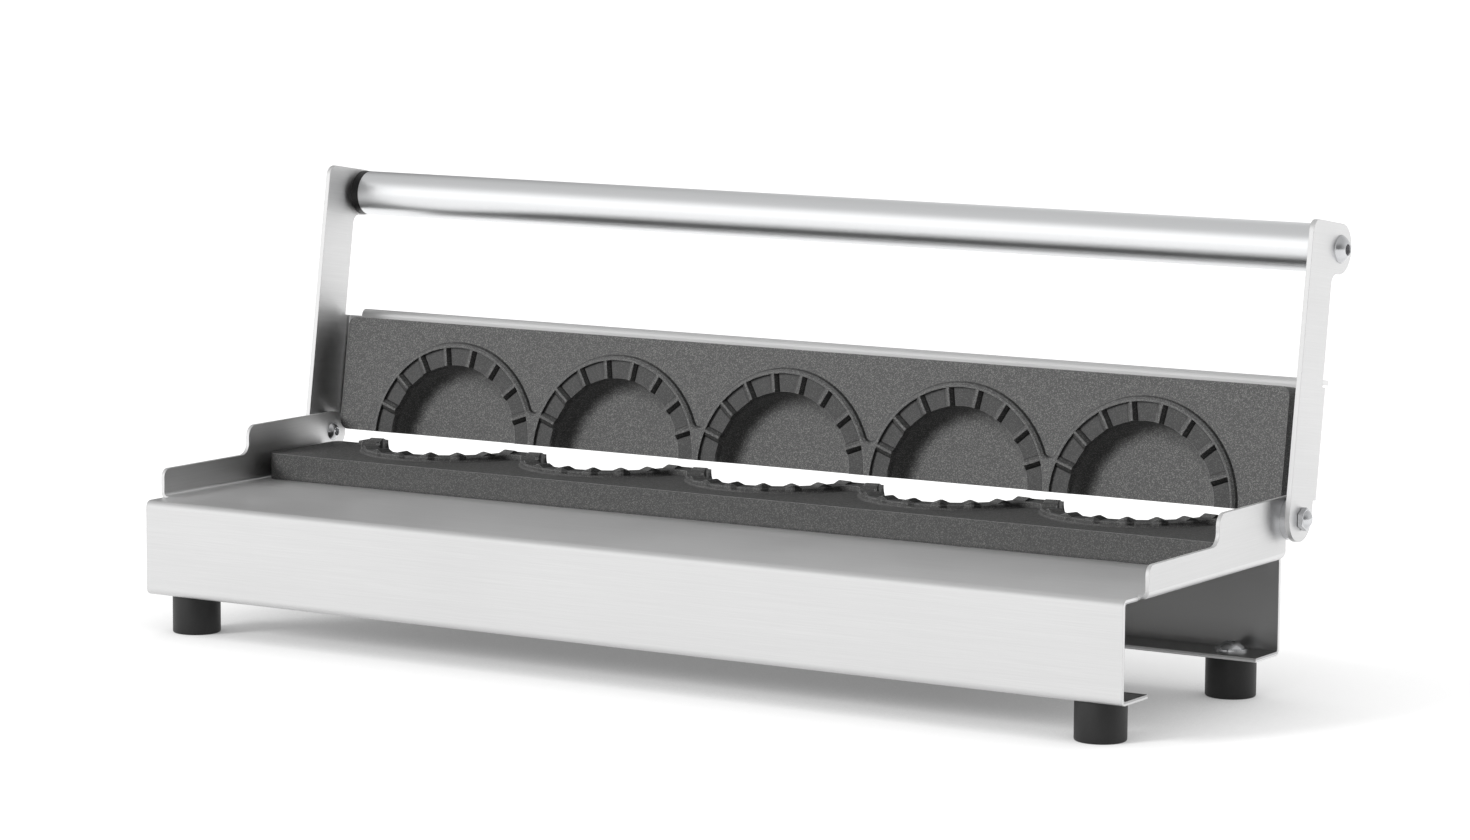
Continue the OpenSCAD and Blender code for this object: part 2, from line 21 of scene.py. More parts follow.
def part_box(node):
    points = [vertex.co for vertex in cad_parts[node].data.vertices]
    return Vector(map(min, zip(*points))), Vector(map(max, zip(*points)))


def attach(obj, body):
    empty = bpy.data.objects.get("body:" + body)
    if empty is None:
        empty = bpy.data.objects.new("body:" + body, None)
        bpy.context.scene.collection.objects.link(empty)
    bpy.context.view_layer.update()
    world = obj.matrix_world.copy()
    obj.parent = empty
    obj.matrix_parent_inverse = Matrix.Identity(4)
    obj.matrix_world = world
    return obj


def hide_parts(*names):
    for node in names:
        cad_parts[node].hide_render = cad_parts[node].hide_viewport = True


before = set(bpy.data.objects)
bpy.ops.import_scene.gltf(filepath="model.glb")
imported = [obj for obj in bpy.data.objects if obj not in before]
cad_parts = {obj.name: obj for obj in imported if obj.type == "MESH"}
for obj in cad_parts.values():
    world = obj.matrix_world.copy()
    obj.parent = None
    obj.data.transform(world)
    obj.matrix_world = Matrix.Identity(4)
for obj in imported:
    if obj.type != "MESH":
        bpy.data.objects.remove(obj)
bpy.context.view_layer.update()

Node = bpy.types.Node
Socket = bpy.types.NodeSocket
Tree = bpy.types.NodeTree
Material = bpy.types.Material

MM = 0.001
LOG = logging.getLogger("dumpling_press")

# The ends of the press, and the side of its middle that each lies on
SIDES = {"left": -1, "right": 1}

# Fractal noise seldom leaves this span
NOISE_SPAN = (0.3, 0.7)

WHITE = (1.0, 1.0, 1.0, 1.0)

# Turns a direction of a piece into one of the world
TO_WORLD = {"vector_type": "VECTOR", "convert_from": "OBJECT", "convert_to": "WORLD"}


class Body(Enum):
    """The two bodies of the press, by their names in the frame."""

    BASE = "base"
    LID = "lid"


class Slot(Enum):
    """The record's material slots."""

    SHEET = "stainless_sheet"
    TUBE = "stainless_tube"
    COATING = "mould_coating"
    RUBBER = "foot_rubber"
    POLYMER = "collar_polymer"
    FASTENER = "fastener_steel"


# Small tools


def linear(hex_code: str) -> tuple[float, float, float, float]:
    """Turns an sRGB hex value into a linear colour.

    Args:
        hex_code: Six hex digits after a hash sign.

    Returns:
        Red, green, blue and an alpha of one.
    """
    parts = [int(hex_code[i : i + 2], 16) / 255 for i in (1, 3, 5)]
    red, green, blue = (
        c / 12.92 if c <= 0.04045 else ((c + 0.055) / 1.055) ** 2.4 for c in parts
    )
    return red, green, blue, 1.0


def add(
    tree: Tree,
    kind: str,
    inputs: dict[str | int, Any] | Sequence[Any] = (),
    **settings: Any,
) -> Node:
    """Adds one shader node with its settings, values and links.

    Args:
        tree: The node tree that gets the node.
        kind: The node's type name.
        inputs: What goes in, by the input's name or number, or else in the inputs' own
            order. Each is a value, a socket, or a node, which gives its first output
            in use.
        settings: The node's own properties.

    Returns:
        The new node.
    """
    node = tree.nodes.new(kind)
    for name, value in settings.items():
        setattr(node, name, value)
    pairs = inputs.items() if isinstance(inputs, dict) else enumerate(inputs)
    for socket, value in pairs:
        if isinstance(value, Node):
            value = next(output for output in value.outputs if output.enabled)
        if isinstance(value, Socket):
            tree.links.new(value, node.inputs[socket])
        else:
            node.inputs[socket].default_value = value
    return node


def solids_of(node: str) -> list[list[Vector]]:
    """Parts the points of a CAD node into those of its separate solids.

    Args:
        node: Name of the CAD node.

    Returns:
        One list of points for each solid, from low X to high X.
    """
    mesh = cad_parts[node].data
    keys = [tuple(round(c, 6) for c in v.co) for v in mesh.vertices]
    boss = {key: key for key in keys}

    def top(key: tuple[float, ...]) -> tuple[float, ...]:
        """Follows a point to the one that stands for its solid.

        Args:
            key: The point.

        Returns:
            The one that stands for the solid.
        """
        while boss[key] != key:
            boss[key] = boss[boss[key]]
            key = boss[key]
        return key

    for edge in mesh.edges:
        a, b = (top(keys[i]) for i in edge.vertices)
        boss[a] = b
    groups: dict[tuple[float, ...], list[Vector]] = {}
    for key in boss:
        groups.setdefault(top(key), []).append(Vector(key))
    return sorted(groups.values(), key=lambda g: sum(p.x for p in g) / len(g))


def seat_on(points: Iterable[Vector], axis: Vector, height: float) -> Matrix:
    """Finds where a round part sits, from its solid's points.

    Args:
        points: Points of the solid.
        axis: The way its head looks.
        height: How far its top lies above the seat, in metres.

    Returns:
        The placing of a piece that is drawn with its seat at Z = 0 and its head up.
    """
    turn = axis.to_track_quat("Z", "Y")
    local = [turn.inverted() @ p for p in points]
    low = [min(p[i] for p in local) for i in range(3)]
    high = [max(p[i] for p in local) for i in range(3)]
    centre = Vector(((low[0] + high[0]) / 2, (low[1] + high[1]) / 2, high[2] - height))
    return Matrix.Translation(turn @ centre) @ turn.to_matrix().to_4x4()


@dataclass(frozen=True)
class Ring:
    """One ring of a turned part: a circle, a hexagon, or a hexagon inside a circle.

    Attributes:
        height: Height along the axis, in millimetres.
        radius: Radius of the circle.
        flat: Half the width across flats, where the ring is a hexagon.
    """

    height: float
    radius: float
    flat: float | None = None

    def reach(self, angle: float) -> float:
        """Finds how far the ring lies from the axis.

        Args:
            angle: The angle round the axis, in radians.

        Returns:
            The distance in millimetres.
        """
        if self.flat is None:
            return self.radius
        off = (angle + math.pi / 6) % (math.pi / 3) - math.pi / 6
        return min(self.radius, self.flat / math.cos(off))


def turn_mesh(
    name: str,
    rings: Sequence[Ring],
    segments: int = 72,
    soft: float = 32.0,
    recess: int = 0,
) -> bpy.types.Mesh:
    """Builds a closed mesh from rings that follow each other along a profile.

    Args:
        name: Name of the mesh.
        rings: The profile from the outer foot over the top to its end.
        segments: Points in each ring, a multiple of six.
        soft: Edges bent by more degrees than this stay sharp.
        recess: How many steps at the profile's end lie in a recess, which takes the
            second finish.

    Returns:
        The mesh, in metres, about the Z axis.
    """
    angles = [2 * math.pi * i / segments for i in range(segments)]
    points = [
        (
            ring.reach(angle) * MM * math.cos(angle),
            ring.reach(angle) * MM * math.sin(angle),
            ring.height * MM,
        )
        for ring in rings
        for angle in angles
    ]
    steps = len(rings) - 1
    faces = [
        (a + i, a + j, a + segments + j, a + segments + i)
        for a in range(0, steps * segments, segments)
        for i, j in ((i, (i + 1) % segments) for i in range(segments))
    ]
    last = steps * segments
    faces.append(tuple(reversed(range(segments))))
    faces.append(tuple(range(last, last + segments)))
    mesh = bpy.data.meshes.new(name)
    mesh.from_pydata(points, [], faces)
    if recess:
        for face in mesh.polygons:
            if last - recess * segments <= face.index < last or face.index == last + 1:
                face.material_index = 1
    mesh.shade_smooth()
    mesh.set_sharp_from_angle(angle=math.radians(soft))
    return mesh


def arc(
    centre: tuple[float, float], radius: float, start: float, end: float, steps: int
) -> list[Ring]:
    """Rings along an arc of a profile.

    Args:
        centre: Distance from the axis and height of the arc's centre.
        radius: Radius of the arc.
        start: First angle in degrees, 0 pointing outwards and 90 up.
        end: Last angle in degrees.
        steps: Number of pieces.

    Returns:
        The rings, both ends included.
    """
    angles = [math.radians(start + (end - start) * i / steps) for i in range(steps + 1)]
    return [
        Ring(centre[1] + radius * math.sin(a), centre[0] + radius * math.cos(a))
        for a in angles
    ]


def put(
    mesh: bpy.types.Mesh,
    seat: Matrix,
    body: Body,
    node: str,
    slot: Slot,
    *materials: Material,
) -> bpy.types.Object:
    """Places a built piece, lets it ride on its body and stand for its CAD node.

    Args:
        mesh: The piece's mesh; the object takes its name.
        seat: Where it goes.
        body: The body that carries it.
        node: The CAD node that it replaces.
        slot: The record's slot of its finish; not used.
        materials: Its finish, and that of a recess if it has one.

    Returns:
        The placed object.
    """
    piece = bpy.data.objects.new(mesh.name, mesh)
    for material in materials:
        mesh.materials.append(material)
    bpy.context.scene.collection.objects.link(piece)
    piece.matrix_world = seat
    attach(piece, body.value)
    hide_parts(node)
    LOG.info("%s rides on %s and stands for %s", piece.name, body.value, node)
    return piece


def dress(node: str, material: Material) -> None:
    """Gives a CAD node its finish.

    Args:
        node: Name of the CAD node.
        material: The finish.
    """
    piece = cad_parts[node]
    for place in piece.material_slots:
        place.material = material
    LOG.info("%s keeps its solid and gets %s", node, material.name)


# Finishes


class Finish:
    """What every finish shares."""

    def start(self, name: str) -> tuple[Material, Tree]:
        """Makes the material.

        Args:
            name: Its name.

        Returns:
            The material and its node tree, without nodes.
        """
        material = bpy.data.materials.new(name)
        material.use_nodes = True
        material.node_tree.nodes.clear()
        return material, material.node_tree

    def relief(
        self, tree: Tree, height: Node, strength: float, depth: float, edge: float
    ) -> Node:
        """Fine relief on a surface whose edges are rounded a little.

        Args:
            tree: The material's node tree.
            height: The relief's shape.
            strength: How strongly it shows.
            depth: Its depth in millimetres.
            edge: Radius of the edges in millimetres.

        Returns:
            The node that gives the surface's normal.
        """
        edges = add(tree, "ShaderNodeBevel", {"Radius": edge * MM}, samples=4)
        inputs = {"Strength": strength, "Distance": depth * MM, "Height": height}
        return add(tree, "ShaderNodeBump", {**inputs, "Normal": edges})

    def handled(
        self,
        tree: Tree,
        place: Socket | Node,
        grain: Node,
        gloss: tuple[float, float],
        smudge: tuple[float, float],
    ) -> Node:
        """Roughness of ground metal, which is duller in its scratches and where hands
        have been.

        Args:
            tree: The material's node tree.
            place: Coordinates of the smudges.
            grain: Noise of the scratches.
            gloss: Roughness between scratches and in them.
            smudge: Roughness that smudges add at most, and their width in millimetres.

        Returns:
            The roughness.
        """
        most, width = smudge
        inputs = {"Vector": place, "Scale": 1 / (width * MM), "Detail": 2.0}
        smudges = add(tree, "ShaderNodeTexNoise", inputs)
        rough = add(tree, "ShaderNodeMapRange", (grain, *NOISE_SPAN, *gloss))
        return add(tree, "ShaderNodeMath", (smudges, most, rough), operation="MULTIPLY_ADD")

    def close(self, tree: Tree, inputs: dict[str, Any]) -> None:
        """Adds the principled surface, with what goes in, and the output."""
        surface = add(tree, "ShaderNodeBsdfPrincipled", inputs)
        add(tree, "ShaderNodeOutputMaterial", {"Surface": surface})


@dataclass(frozen=True)
class BrushedSheet(Finish):
    """Cold-rolled stainless sheet with a brushed finish, laser cut and folded.

    Fine straight scratches along the coil stretch each reflection across them, and the
    cut edges are paler than the faces. Real scratches are a tenth of a millimetre wide;
    they are drawn coarser here so that they show.

    Attributes:
        piece: Which piece it is for.
        lean: Degrees that the sheet leans back about X.
        side: Distance from the middle beyond which an upright flange begins, in mm.
        floor: Height from which that holds, in mm.
        hollow: Middle and half width in Y, and in Z, of the folded sheet's inside, in mm.
        colour: Colour of the brushed face.
        edge: Colour of a cut edge.
        mill_and_shade: Colour of the inside: the dull mill side, darkened further as painted
            shade inside the fold.
        scratch: Length and width of a scratch, in mm.
        streak: Length and width of a broad streak, in mm.
        scratch_shade: Share of the face's colour that is left in a scratch.
        streak_shade: The same for a streak.
        streak_share: How much of the streaks shows.
        gloss: Roughness between scratches and in them.
        smudge: Roughness that smudges add at most, and their width in mm.
        upright: How squarely a flange's face looks sideways, at least.
        cut_span: How squarely a cut edge looks its own way, from none of it to all.
        margin: Room for the fold beside a flange, in mm.
    """

    piece: str
    lean: float
    side: float
    floor: float
    hollow: tuple[float, float, float, float] | None = None
    colour: str = "#E2E2E2"
    edge: str = "#E6E6E6"
    mill_and_shade: str = "#BCBCBC"
    scratch: tuple[float, float] = (30.0, 0.35)
    streak: tuple[float, float] = (160.0, 3.0)
    scratch_shade: float = 0.92
    streak_shade: float = 0.90
    streak_share: float = 0.4
    gloss: tuple[float, float] = (0.33, 0.39)
    smudge: tuple[float, float] = (0.06, 60.0)
    upright: float = 0.7
    cut_span: tuple[float, float] = (0.8, 0.95)
    margin: float = 0.2

    def build(self) -> Material:
        """Builds the material.

        Returns:
            The finish that the pieces get.
        """
        material, tree = self.start(f"Brushed stainless sheet, {self.piece}")
        look = add(tree, "ShaderNodeTexCoord")
        place = look.outputs["Object"]
        turn = {"Rotation": (math.radians(self.lean), 0.0, 0.0)}
        flat = add(tree, "ShaderNodeMapping", {"Vector": place, **turn})
        inputs = {"Vector": look.outputs["Normal"], **turn}
        facing = add(tree, "ShaderNodeMapping", inputs, vector_type="VECTOR")
        facing_x = add(tree, "ShaderNodeSeparateXYZ", (facing,)).outputs["X"]
        sideways = add(tree, "ShaderNodeMath", (facing_x,), operation="ABSOLUTE")
        side = add(
            tree, "ShaderNodeMath", (sideways, self.upright), operation="GREATER_THAN"
        )
        scratches = self.drawn_out(tree, flat, side, *self.scratch)
        streaks = self.drawn_out(tree, flat, side, *self.streak)
        scratched = add(tree, "ShaderNodeMapRange", (scratches, *NOISE_SPAN))
        streaked = add(tree, "ShaderNodeMapRange", (streaks, *NOISE_SPAN))
        streaked = add(
            tree, "ShaderNodeMath", (streaked, self.streak_share), operation="MULTIPLY"
        )
        colour = add(
            tree,
            "ShaderNodeMix",
            {0: scratched, 6: self.shade(self.scratch_shade), 7: self.shade(1.0)},
            data_type="RGBA",
        )
        layers = [
            (streaked, self.shade(self.streak_shade)),
            (self.cut_edges(tree, place, sideways), linear(self.edge)),
        ]
        # Inside the fold the colour is the duller mill side, darkened further as painted
        # shade.
        if self.hollow:
            layers.append((self.in_hollow(tree, place, self.hollow), linear(self.mill_and_shade)))
        for share, over in layers:
            colour = add(
                tree, "ShaderNodeMix", {0: share, 6: colour, 7: over}, data_type="RGBA"
            )
        rough = self.handled(tree, flat, scratches, self.gloss, self.smudge)
        self.close(
            tree,
            {
                "Base Color": colour,
                "Metallic": 1.0,
                "Roughness": rough,
                "Normal": self.relief(tree, scratches, strength=0.15, depth=0.01, edge=0.35),
                "Anisotropic": 0.8,
                "Tangent": self.across(tree, side),
            },
        )
        return material

    def shade(self, share: float) -> tuple[float, float, float, float]:
        """The face's colour, darkened to a share."""
        red, green, blue, alpha = linear(self.colour)
        return red * share, green * share, blue * share, alpha

    def drawn_out(
        self, tree: Tree, flat: Node, side: Node, length: float, width: float
    ) -> Node:
        """Noise drawn out along the scratches.

        Args:
            tree: The material's node tree.
            flat: Coordinates in the sheet's own frame.
            side: One on the faces that look sideways.
            length: Length of a streak in millimetres.
            width: Width of a streak in millimetres.

        Returns:
            The noise, about a half.
        """
        along, over = 1 / (length * MM), 1 / (width * MM)
        plain, folded = (
            add(tree, "ShaderNodeMapping", {"Vector": flat, "Scale": scale})
            for scale in ((along, over, over), (over, along, over))
        )
        chosen = add(
            tree, "ShaderNodeMix", {0: side, 4: plain, 5: folded}, data_type="VECTOR"
        )
        grain = {"Scale": 1.0, "Detail": 3.0, "Roughness": 0.6}
        return add(tree, "ShaderNodeTexNoise", {"Vector": chosen, **grain})

    def in_hollow(
        self, tree: Tree, place: Socket, hollow: tuple[float, float, float, float]
    ) -> Node:
        """One on the faces inside the folded sheet.

        Args:
            tree: The material's node tree.
            place: Coordinates of the object.
            hollow: Middle and half width in Y, and in Z, in millimetres.

        Returns:
            The mask.
        """
        _, deep, tall = add(tree, "ShaderNodeSeparateXYZ", (place,)).outputs
        within = (
            add(tree, "ShaderNodeMath", (at, middle * MM, half * MM), operation="COMPARE")
            for at, middle, half in ((deep, *hollow[:2]), (tall, *hollow[2:]))
        )
        return add(tree, "ShaderNodeMath", tuple(within), operation="MULTIPLY")

    def cut_edges(self, tree: Tree, place: Socket, sideways: Node) -> Node:
        """One on the narrow cut edges: those that look sideways on the flat part, and
        those that look any other way on the upright flanges.

        Args:
            tree: The material's node tree.
            place: Coordinates of the object.
            sideways: How far the face looks sideways, from 0 to 1.

        Returns:
            The mask.
        """
        wide, _, tall = add(tree, "ShaderNodeSeparateXYZ", (place,)).outputs
        out = add(tree, "ShaderNodeMath", (wide,), operation="ABSOLUTE")
        lines = ((self.side - self.margin) * MM, (self.floor - self.margin) * MM)
        past = (
            add(tree, "ShaderNodeMath", (at, line), operation="GREATER_THAN")
            for at, line in zip((out, tall), lines)
        )
        flange = add(tree, "ShaderNodeMath", tuple(past), operation="MULTIPLY")
        gap = add(tree, "ShaderNodeMath", (sideways, flange), operation="SUBTRACT")
        size = add(tree, "ShaderNodeMath", (gap,), operation="ABSOLUTE")
        return add(tree, "ShaderNodeMapRange", (size, *self.cut_span))

    def across(self, tree: Tree, side: Node) -> Node:
        """The way that reflections stretch: across the scratches, in the surface.

        Args:
            tree: The material's node tree.
            side: One on the faces that look sideways.

        Returns:
            The direction in the world.
        """
        normal = add(tree, "ShaderNodeNewGeometry").outputs["Normal"]
        coil = (1.0, 0.0, 0.0)
        plain = add(tree, "ShaderNodeVectorMath", (normal, coil), operation="CROSS_PRODUCT")
        folded = add(tree, "ShaderNodeVectorTransform", ((0.0, 0.0, 1.0),), **TO_WORLD)
        return add(
            tree, "ShaderNodeMix", {0: side, 4: plain, 5: folded}, data_type="VECTOR"
        )


@dataclass(frozen=True)
class GroundTube(Finish):
    """Drawn stainless tube, centreless ground and lightly polished.

    Rings too fine to part blur what it mirrors along its length, so that it shows long
    clean bands.

    Attributes:
        colour: Its colour.
        ring: Width of a grinding ring in mm, coarser than a real one so that it shows.
        ring_reach: How far a ring runs round the tube before it fades, in mm.
        gloss: Roughness between rings and in them.
        smudge: Roughness that smudges add at most, and their width in mm.
    """

    colour: str = "#EDEEEF"
    ring: float = 0.6
    ring_reach: float = 30.0
    gloss: tuple[float, float] = (0.28, 0.34)
    smudge: tuple[float, float] = (0.05, 70.0)

    def build(self) -> Material:
        """Builds the material.

        Returns:
            The finish that the pieces get.
        """
        material, tree = self.start("Ground stainless tube")
        place = add(tree, "ShaderNodeTexCoord").outputs["Object"]
        over, along = 1 / (self.ring * MM), 1 / (self.ring_reach * MM)
        rings = add(
            tree, "ShaderNodeMapping", {"Vector": place, "Scale": (over, along, along)}
        )
        rings = add(
            tree, "ShaderNodeTexNoise", {"Vector": rings, "Scale": 1.0, "Detail": 3.0}
        )
        rough = self.handled(tree, place, rings, self.gloss, self.smudge)
        along_tube = add(tree, "ShaderNodeVectorTransform", ((1.0, 0.0, 0.0),), **TO_WORLD)
        self.close(
            tree,
            {
                "Base Color": linear(self.colour),
                "Metallic": 1.0,
                "Roughness": rough,
                "Normal": self.relief(tree, rings, strength=0.15, depth=0.01, edge=0.3),
                "Anisotropic": 0.2,
                "Tangent": along_tube,
            },
        )
        return material


@dataclass(frozen=True)
class BayPlace:
    """Where a point lies round its bay.

    Attributes:
        angle: Angle from the bay's straight edge.
        far: Distance from the bay's centre.
        level: Depth under the pads.
    """

    angle: Node
    far: Node
    level: Socket


@dataclass(frozen=True)
class SpeckledCoating(Finish):
    """Cast aluminium under a sprayed non-stick coating with mineral flecks.

    The skin is dark grey and satin, with a fine orange peel, and pale flecks all over it.
    It is paler on the edges, where it thins and where a painted highlight stands for the
    light they catch, darker in the corners, a painted shade, and darker on the pads, a
    painted shade of the lips and ribs round them, and smoother there, which the dough rubs.
    The castings' flanks are less steep than the real ones, so relief in the skin makes them
    look steeper.

    Attributes:
        mould: Which mould it is for.
        tilt: Degrees about X from the upright to the mould's own frame.
        centre: World Y and Z of the line through the bays' centres, level with the
            pads, in mm.
        outer: Outer radius of the pads, in mm.
        first_rib: Place of the first rib, in pads from the bay's straight edge.
        rib_foot: Width of a rib's foot, in mm.
        colour: Colour of the skin.
        fleck: Colour of the flecks.
        thin_edge_and_highlight: Colour of a thin edge, pale from the thinner skin and from a
            painted highlight.
        corner_shade_colour: Colour in the corners, a painted shade.
        pad_shade: Colour of the pads, a painted shade of the lips and ribs round them.
        fleck_size: Width of a fleck in mm. Real ones are half as wide; they are drawn
            coarser so that they show.
        fleck_start: Chance value from which a cell of the pattern holds a fleck.
        fleck_rim: Where a fleck begins to fade, and where it ends, in cells.
        fleck_kept: Share of the flecks that shows on the pads, fewer as part of their
            painted shade.
        peel: Width of the orange peel's waves, in mm.
        gloss: Roughness at the peel's dull and bright spots.
        pad_gloss: What the pads add to it.
        bay_pitch: Distance between the centres of the bays, in mm.
        last_bay: Number of bays on either side of the middle one.
        inner: Inner radius of the pads, in mm.
        pad_count: Number of pads round a bay.
        pad_depth: How far from the pads' level still counts as a pad, in mm.
        rib_crest: Width of a rib's top, in mm.
        relief_depth: How much deeper the corners beside the ribs are drawn, in mm.
        relief_fade: Depth at which that begins to fade, and where it ends, in mm.
        lip_relief: How much deeper the foot of the lips is drawn, in mm.
        lip_span: Depth under the pads where that begins and where it is full, in mm.
        lip_gap: How far outside the pads it begins, in mm.
        edge_round: Radius of the skin over an edge, in mm.
        bend_span: How alike the rounded and the flat face look where the pale edge begins,
            and where it is palest.
        worn_and_highlight_most: Share of the pale edge colour, thin skin and painted
            highlight in one, on the sharpest edge.
        corner_reach: How far off a wall darkens a corner, in mm.
        edge_span: Share of open air from which an edge counts, and where it does fully.
        corner_span: Share of open air in a full corner, and where a corner ends.
        corner_most: Share of the painted corner shade in a full corner.
    """

    mould: str
    tilt: float
    centre: tuple[float, float]
    outer: float
    first_rib: float
    rib_foot: float
    colour: str = "#575757"
    fleck: str = "#90908E"
    thin_edge_and_highlight: str = "#9C9C9C"
    corner_shade_colour: str = "#1E1E1E"
    pad_shade: str = "#444444"
    fleck_size: float = 0.5
    fleck_start: float = 0.25
    fleck_rim: tuple[float, float] = (0.35, 0.65)
    fleck_kept: float = 0.3
    peel: float = 1.4
    gloss: tuple[float, float] = (0.44, 0.58)
    pad_gloss: float = -0.08
    bay_pitch: float = 104.0
    last_bay: int = 2
    inner: float = 40.8
    pad_count: int = 9
    pad_depth: float = 0.4
    rib_crest: float = 1.2
    relief_depth: float = 2.2
    relief_fade: tuple[float, float] = (1.7, 4.5)
    lip_relief: float = 0.0
    lip_span: tuple[float, float] = (-0.1, 0.75)
    lip_gap: float = 0.7
    edge_round: float = 0.4
    bend_span: tuple[float, float] = (0.995, 0.85)
    worn_and_highlight_most: float = 0.9
    corner_reach: float = 2.0
    edge_span: tuple[float, float] = (0.75, 0.95)
    corner_span: tuple[float, float] = (0.45, 0.9)
    corner_most: float = 0.6

    def build(self) -> Material:
        """Builds the material.

        Returns:
            The finish that the pieces get.
        """
        material, tree = self.start(f"Speckled non-stick coating, {self.mould} mould")
        place = add(tree, "ShaderNodeTexCoord").outputs["Object"]
        bay = self.round_the_bay(tree, place)
        pad = self.on_pads(tree, bay)
        waves = {"Vector": place, "Scale": 1 / (self.peel * MM), "Detail": 3.0}
        peel = add(tree, "ShaderNodeTexNoise", waves)
        soft = add(tree, "ShaderNodeBevel", {"Radius": self.edge_round * MM}, samples=6)
        worn_and_highlight, corner_shade = self.edges_and_corners(tree, soft)
        colour: Any = linear(self.colour)
        for share, over in (
            # Painted shade: the pads' darker colour.
            (pad, self.pad_shade),
            (self.flecks(tree, place, pad), self.fleck),
            # Thin skin on the edges, together with a painted highlight there.
            (worn_and_highlight, self.thin_edge_and_highlight),
            # Painted shade in the corners.
            (corner_shade, self.corner_shade_colour),
        ):
            inputs = {0: share, 6: colour, 7: linear(over)}
            colour = add(tree, "ShaderNodeMix", inputs, data_type="RGBA")
        rough = add(tree, "ShaderNodeMapRange", (peel, *NOISE_SPAN, *self.gloss))
        rough = add(
            tree, "ShaderNodeMath", (pad, self.pad_gloss, rough), operation="MULTIPLY_ADD"
        )
        depth = self.drawn_depth(tree, bay)
        flanks = {"Strength": 1.0, "Distance": MM, "Height": depth, "Normal": soft}
        steps = add(tree, "ShaderNodeBump", flanks, invert=True)
        skin = {"Strength": 0.6, "Distance": 0.06 * MM, "Height": peel, "Normal": steps}
        self.close(
            tree,
            {
                "Base Color": colour,
                "Roughness": rough,
                "IOR": 1.42,
                "Normal": add(tree, "ShaderNodeBump", skin),
            },
        )
        return material

    def flecks(self, tree: Tree, place: Socket, pad: Node) -> Node:
        """Share of fleck at a point: each cell of the pattern holds a fleck of its own
        strength, and the pads show fewer, as part of their painted shade.

        Args:
            tree: The material's node tree.
            place: Coordinates of the object.
            pad: One on the pads.

        Returns:
            The share.
        """
        scale = 1 / (self.fleck_size * MM)
        cells = add(tree, "ShaderNodeTexVoronoi", {"Vector": place, "Scale": scale}).outputs
        chance = add(tree, "ShaderNodeSeparateColor", (cells["Color"],)).outputs["Red"]
        strong = add(tree, "ShaderNodeMapRange", (chance, self.fleck_start, 1.0))
        near = add(
            tree, "ShaderNodeMapRange", (cells["Distance"], *self.fleck_rim, 1.0, 0.0)
        )
        fleck = add(tree, "ShaderNodeMath", (strong, near), operation="MULTIPLY")
        kept = add(tree, "ShaderNodeMapRange", (pad, 0.0, 1.0, 1.0, self.fleck_kept))
        return add(tree, "ShaderNodeMath", (fleck, kept), operation="MULTIPLY")

    def edges_and_corners(self, tree: Tree, soft: Node) -> tuple[Node, Node]:
        """Shares of pale edge, thin skin and painted highlight in one, on open edges and of
        painted shade in corners.

        Args:
            tree: The material's node tree.
            soft: The normal with the edges rounded.

        Returns:
            The share of pale edge and that of painted corner shade.
        """
        normal = add(tree, "ShaderNodeNewGeometry").outputs["Normal"]
        bend = add(tree, "ShaderNodeVectorMath", (normal, soft), operation="DOT_PRODUCT")
        bent = add(tree, "ShaderNodeMapRange", (bend, *self.bend_span, 0.0, self.worn_and_highlight_most))
        reach = {"Distance": self.corner_reach * MM}
        free = add(tree, "ShaderNodeAmbientOcclusion", reach, samples=6).outputs["AO"]
        open_edge = add(tree, "ShaderNodeMapRange", (free, *self.edge_span))
        # Painted shade: corners with little open air take the near-black colour.
        corner_shade = add(
            tree, "ShaderNodeMapRange", (free, *self.corner_span, self.corner_most, 0.0)
        )
        worn_and_highlight = add(tree, "ShaderNodeMath", (bent, open_edge), operation="MULTIPLY")
        return worn_and_highlight, corner_shade

    def round_the_bay(self, tree: Tree, place: Socket) -> BayPlace:
        """Finds where a point lies round the nearest bay.

        Args:
            tree: The material's node tree.
            place: Coordinates of the object.

        Returns:
            The nodes that give that place.
        """
        own = add(
            tree,
            "ShaderNodeMapping",
            {
                "Vector": place,
                "Location": (0.0, self.centre[0] * MM, self.centre[1] * MM),
                "Rotation": (math.radians(self.tilt), 0.0, 0.0),
            },
            vector_type="TEXTURE",
        )
        wide, level, tall = add(tree, "ShaderNodeSeparateXYZ", (own,)).outputs
        pitch = self.bay_pitch * MM
        steps = add(tree, "ShaderNodeMath", (wide, pitch), operation="DIVIDE")
        bay = add(tree, "ShaderNodeMath", (steps,), operation="ROUND")
        bay = add(tree, "ShaderNodeClamp", (bay, -self.last_bay, self.last_bay))
        beside = add(tree, "ShaderNodeMath", (bay, -pitch, wide), operation="MULTIPLY_ADD")
        arm = add(tree, "ShaderNodeCombineXYZ", (beside, tall))
        far = add(tree, "ShaderNodeVectorMath", (arm,), operation="LENGTH")
        angle = add(tree, "ShaderNodeMath", (tall, beside), operation="ARCTAN2")
        return BayPlace(angle, far, level)

    def on_pads(self, tree: Tree, bay: BayPlace) -> Node:
        """One on the pads round each bay.

        Args:
            tree: The material's node tree.
            bay: Place round the bay.

        Returns:
            The mask.
        """
        middle = (self.inner + self.outer) / 2 * MM
        half = (self.outer - self.inner) / 2 * MM
        ring = add(tree, "ShaderNodeMath", (bay.far, middle, half), operation="COMPARE")
        depth = self.pad_depth * MM
        level = add(tree, "ShaderNodeMath", (bay.level, 0.0, depth), operation="COMPARE")
        return add(tree, "ShaderNodeMath", (ring, level), operation="MULTIPLY")

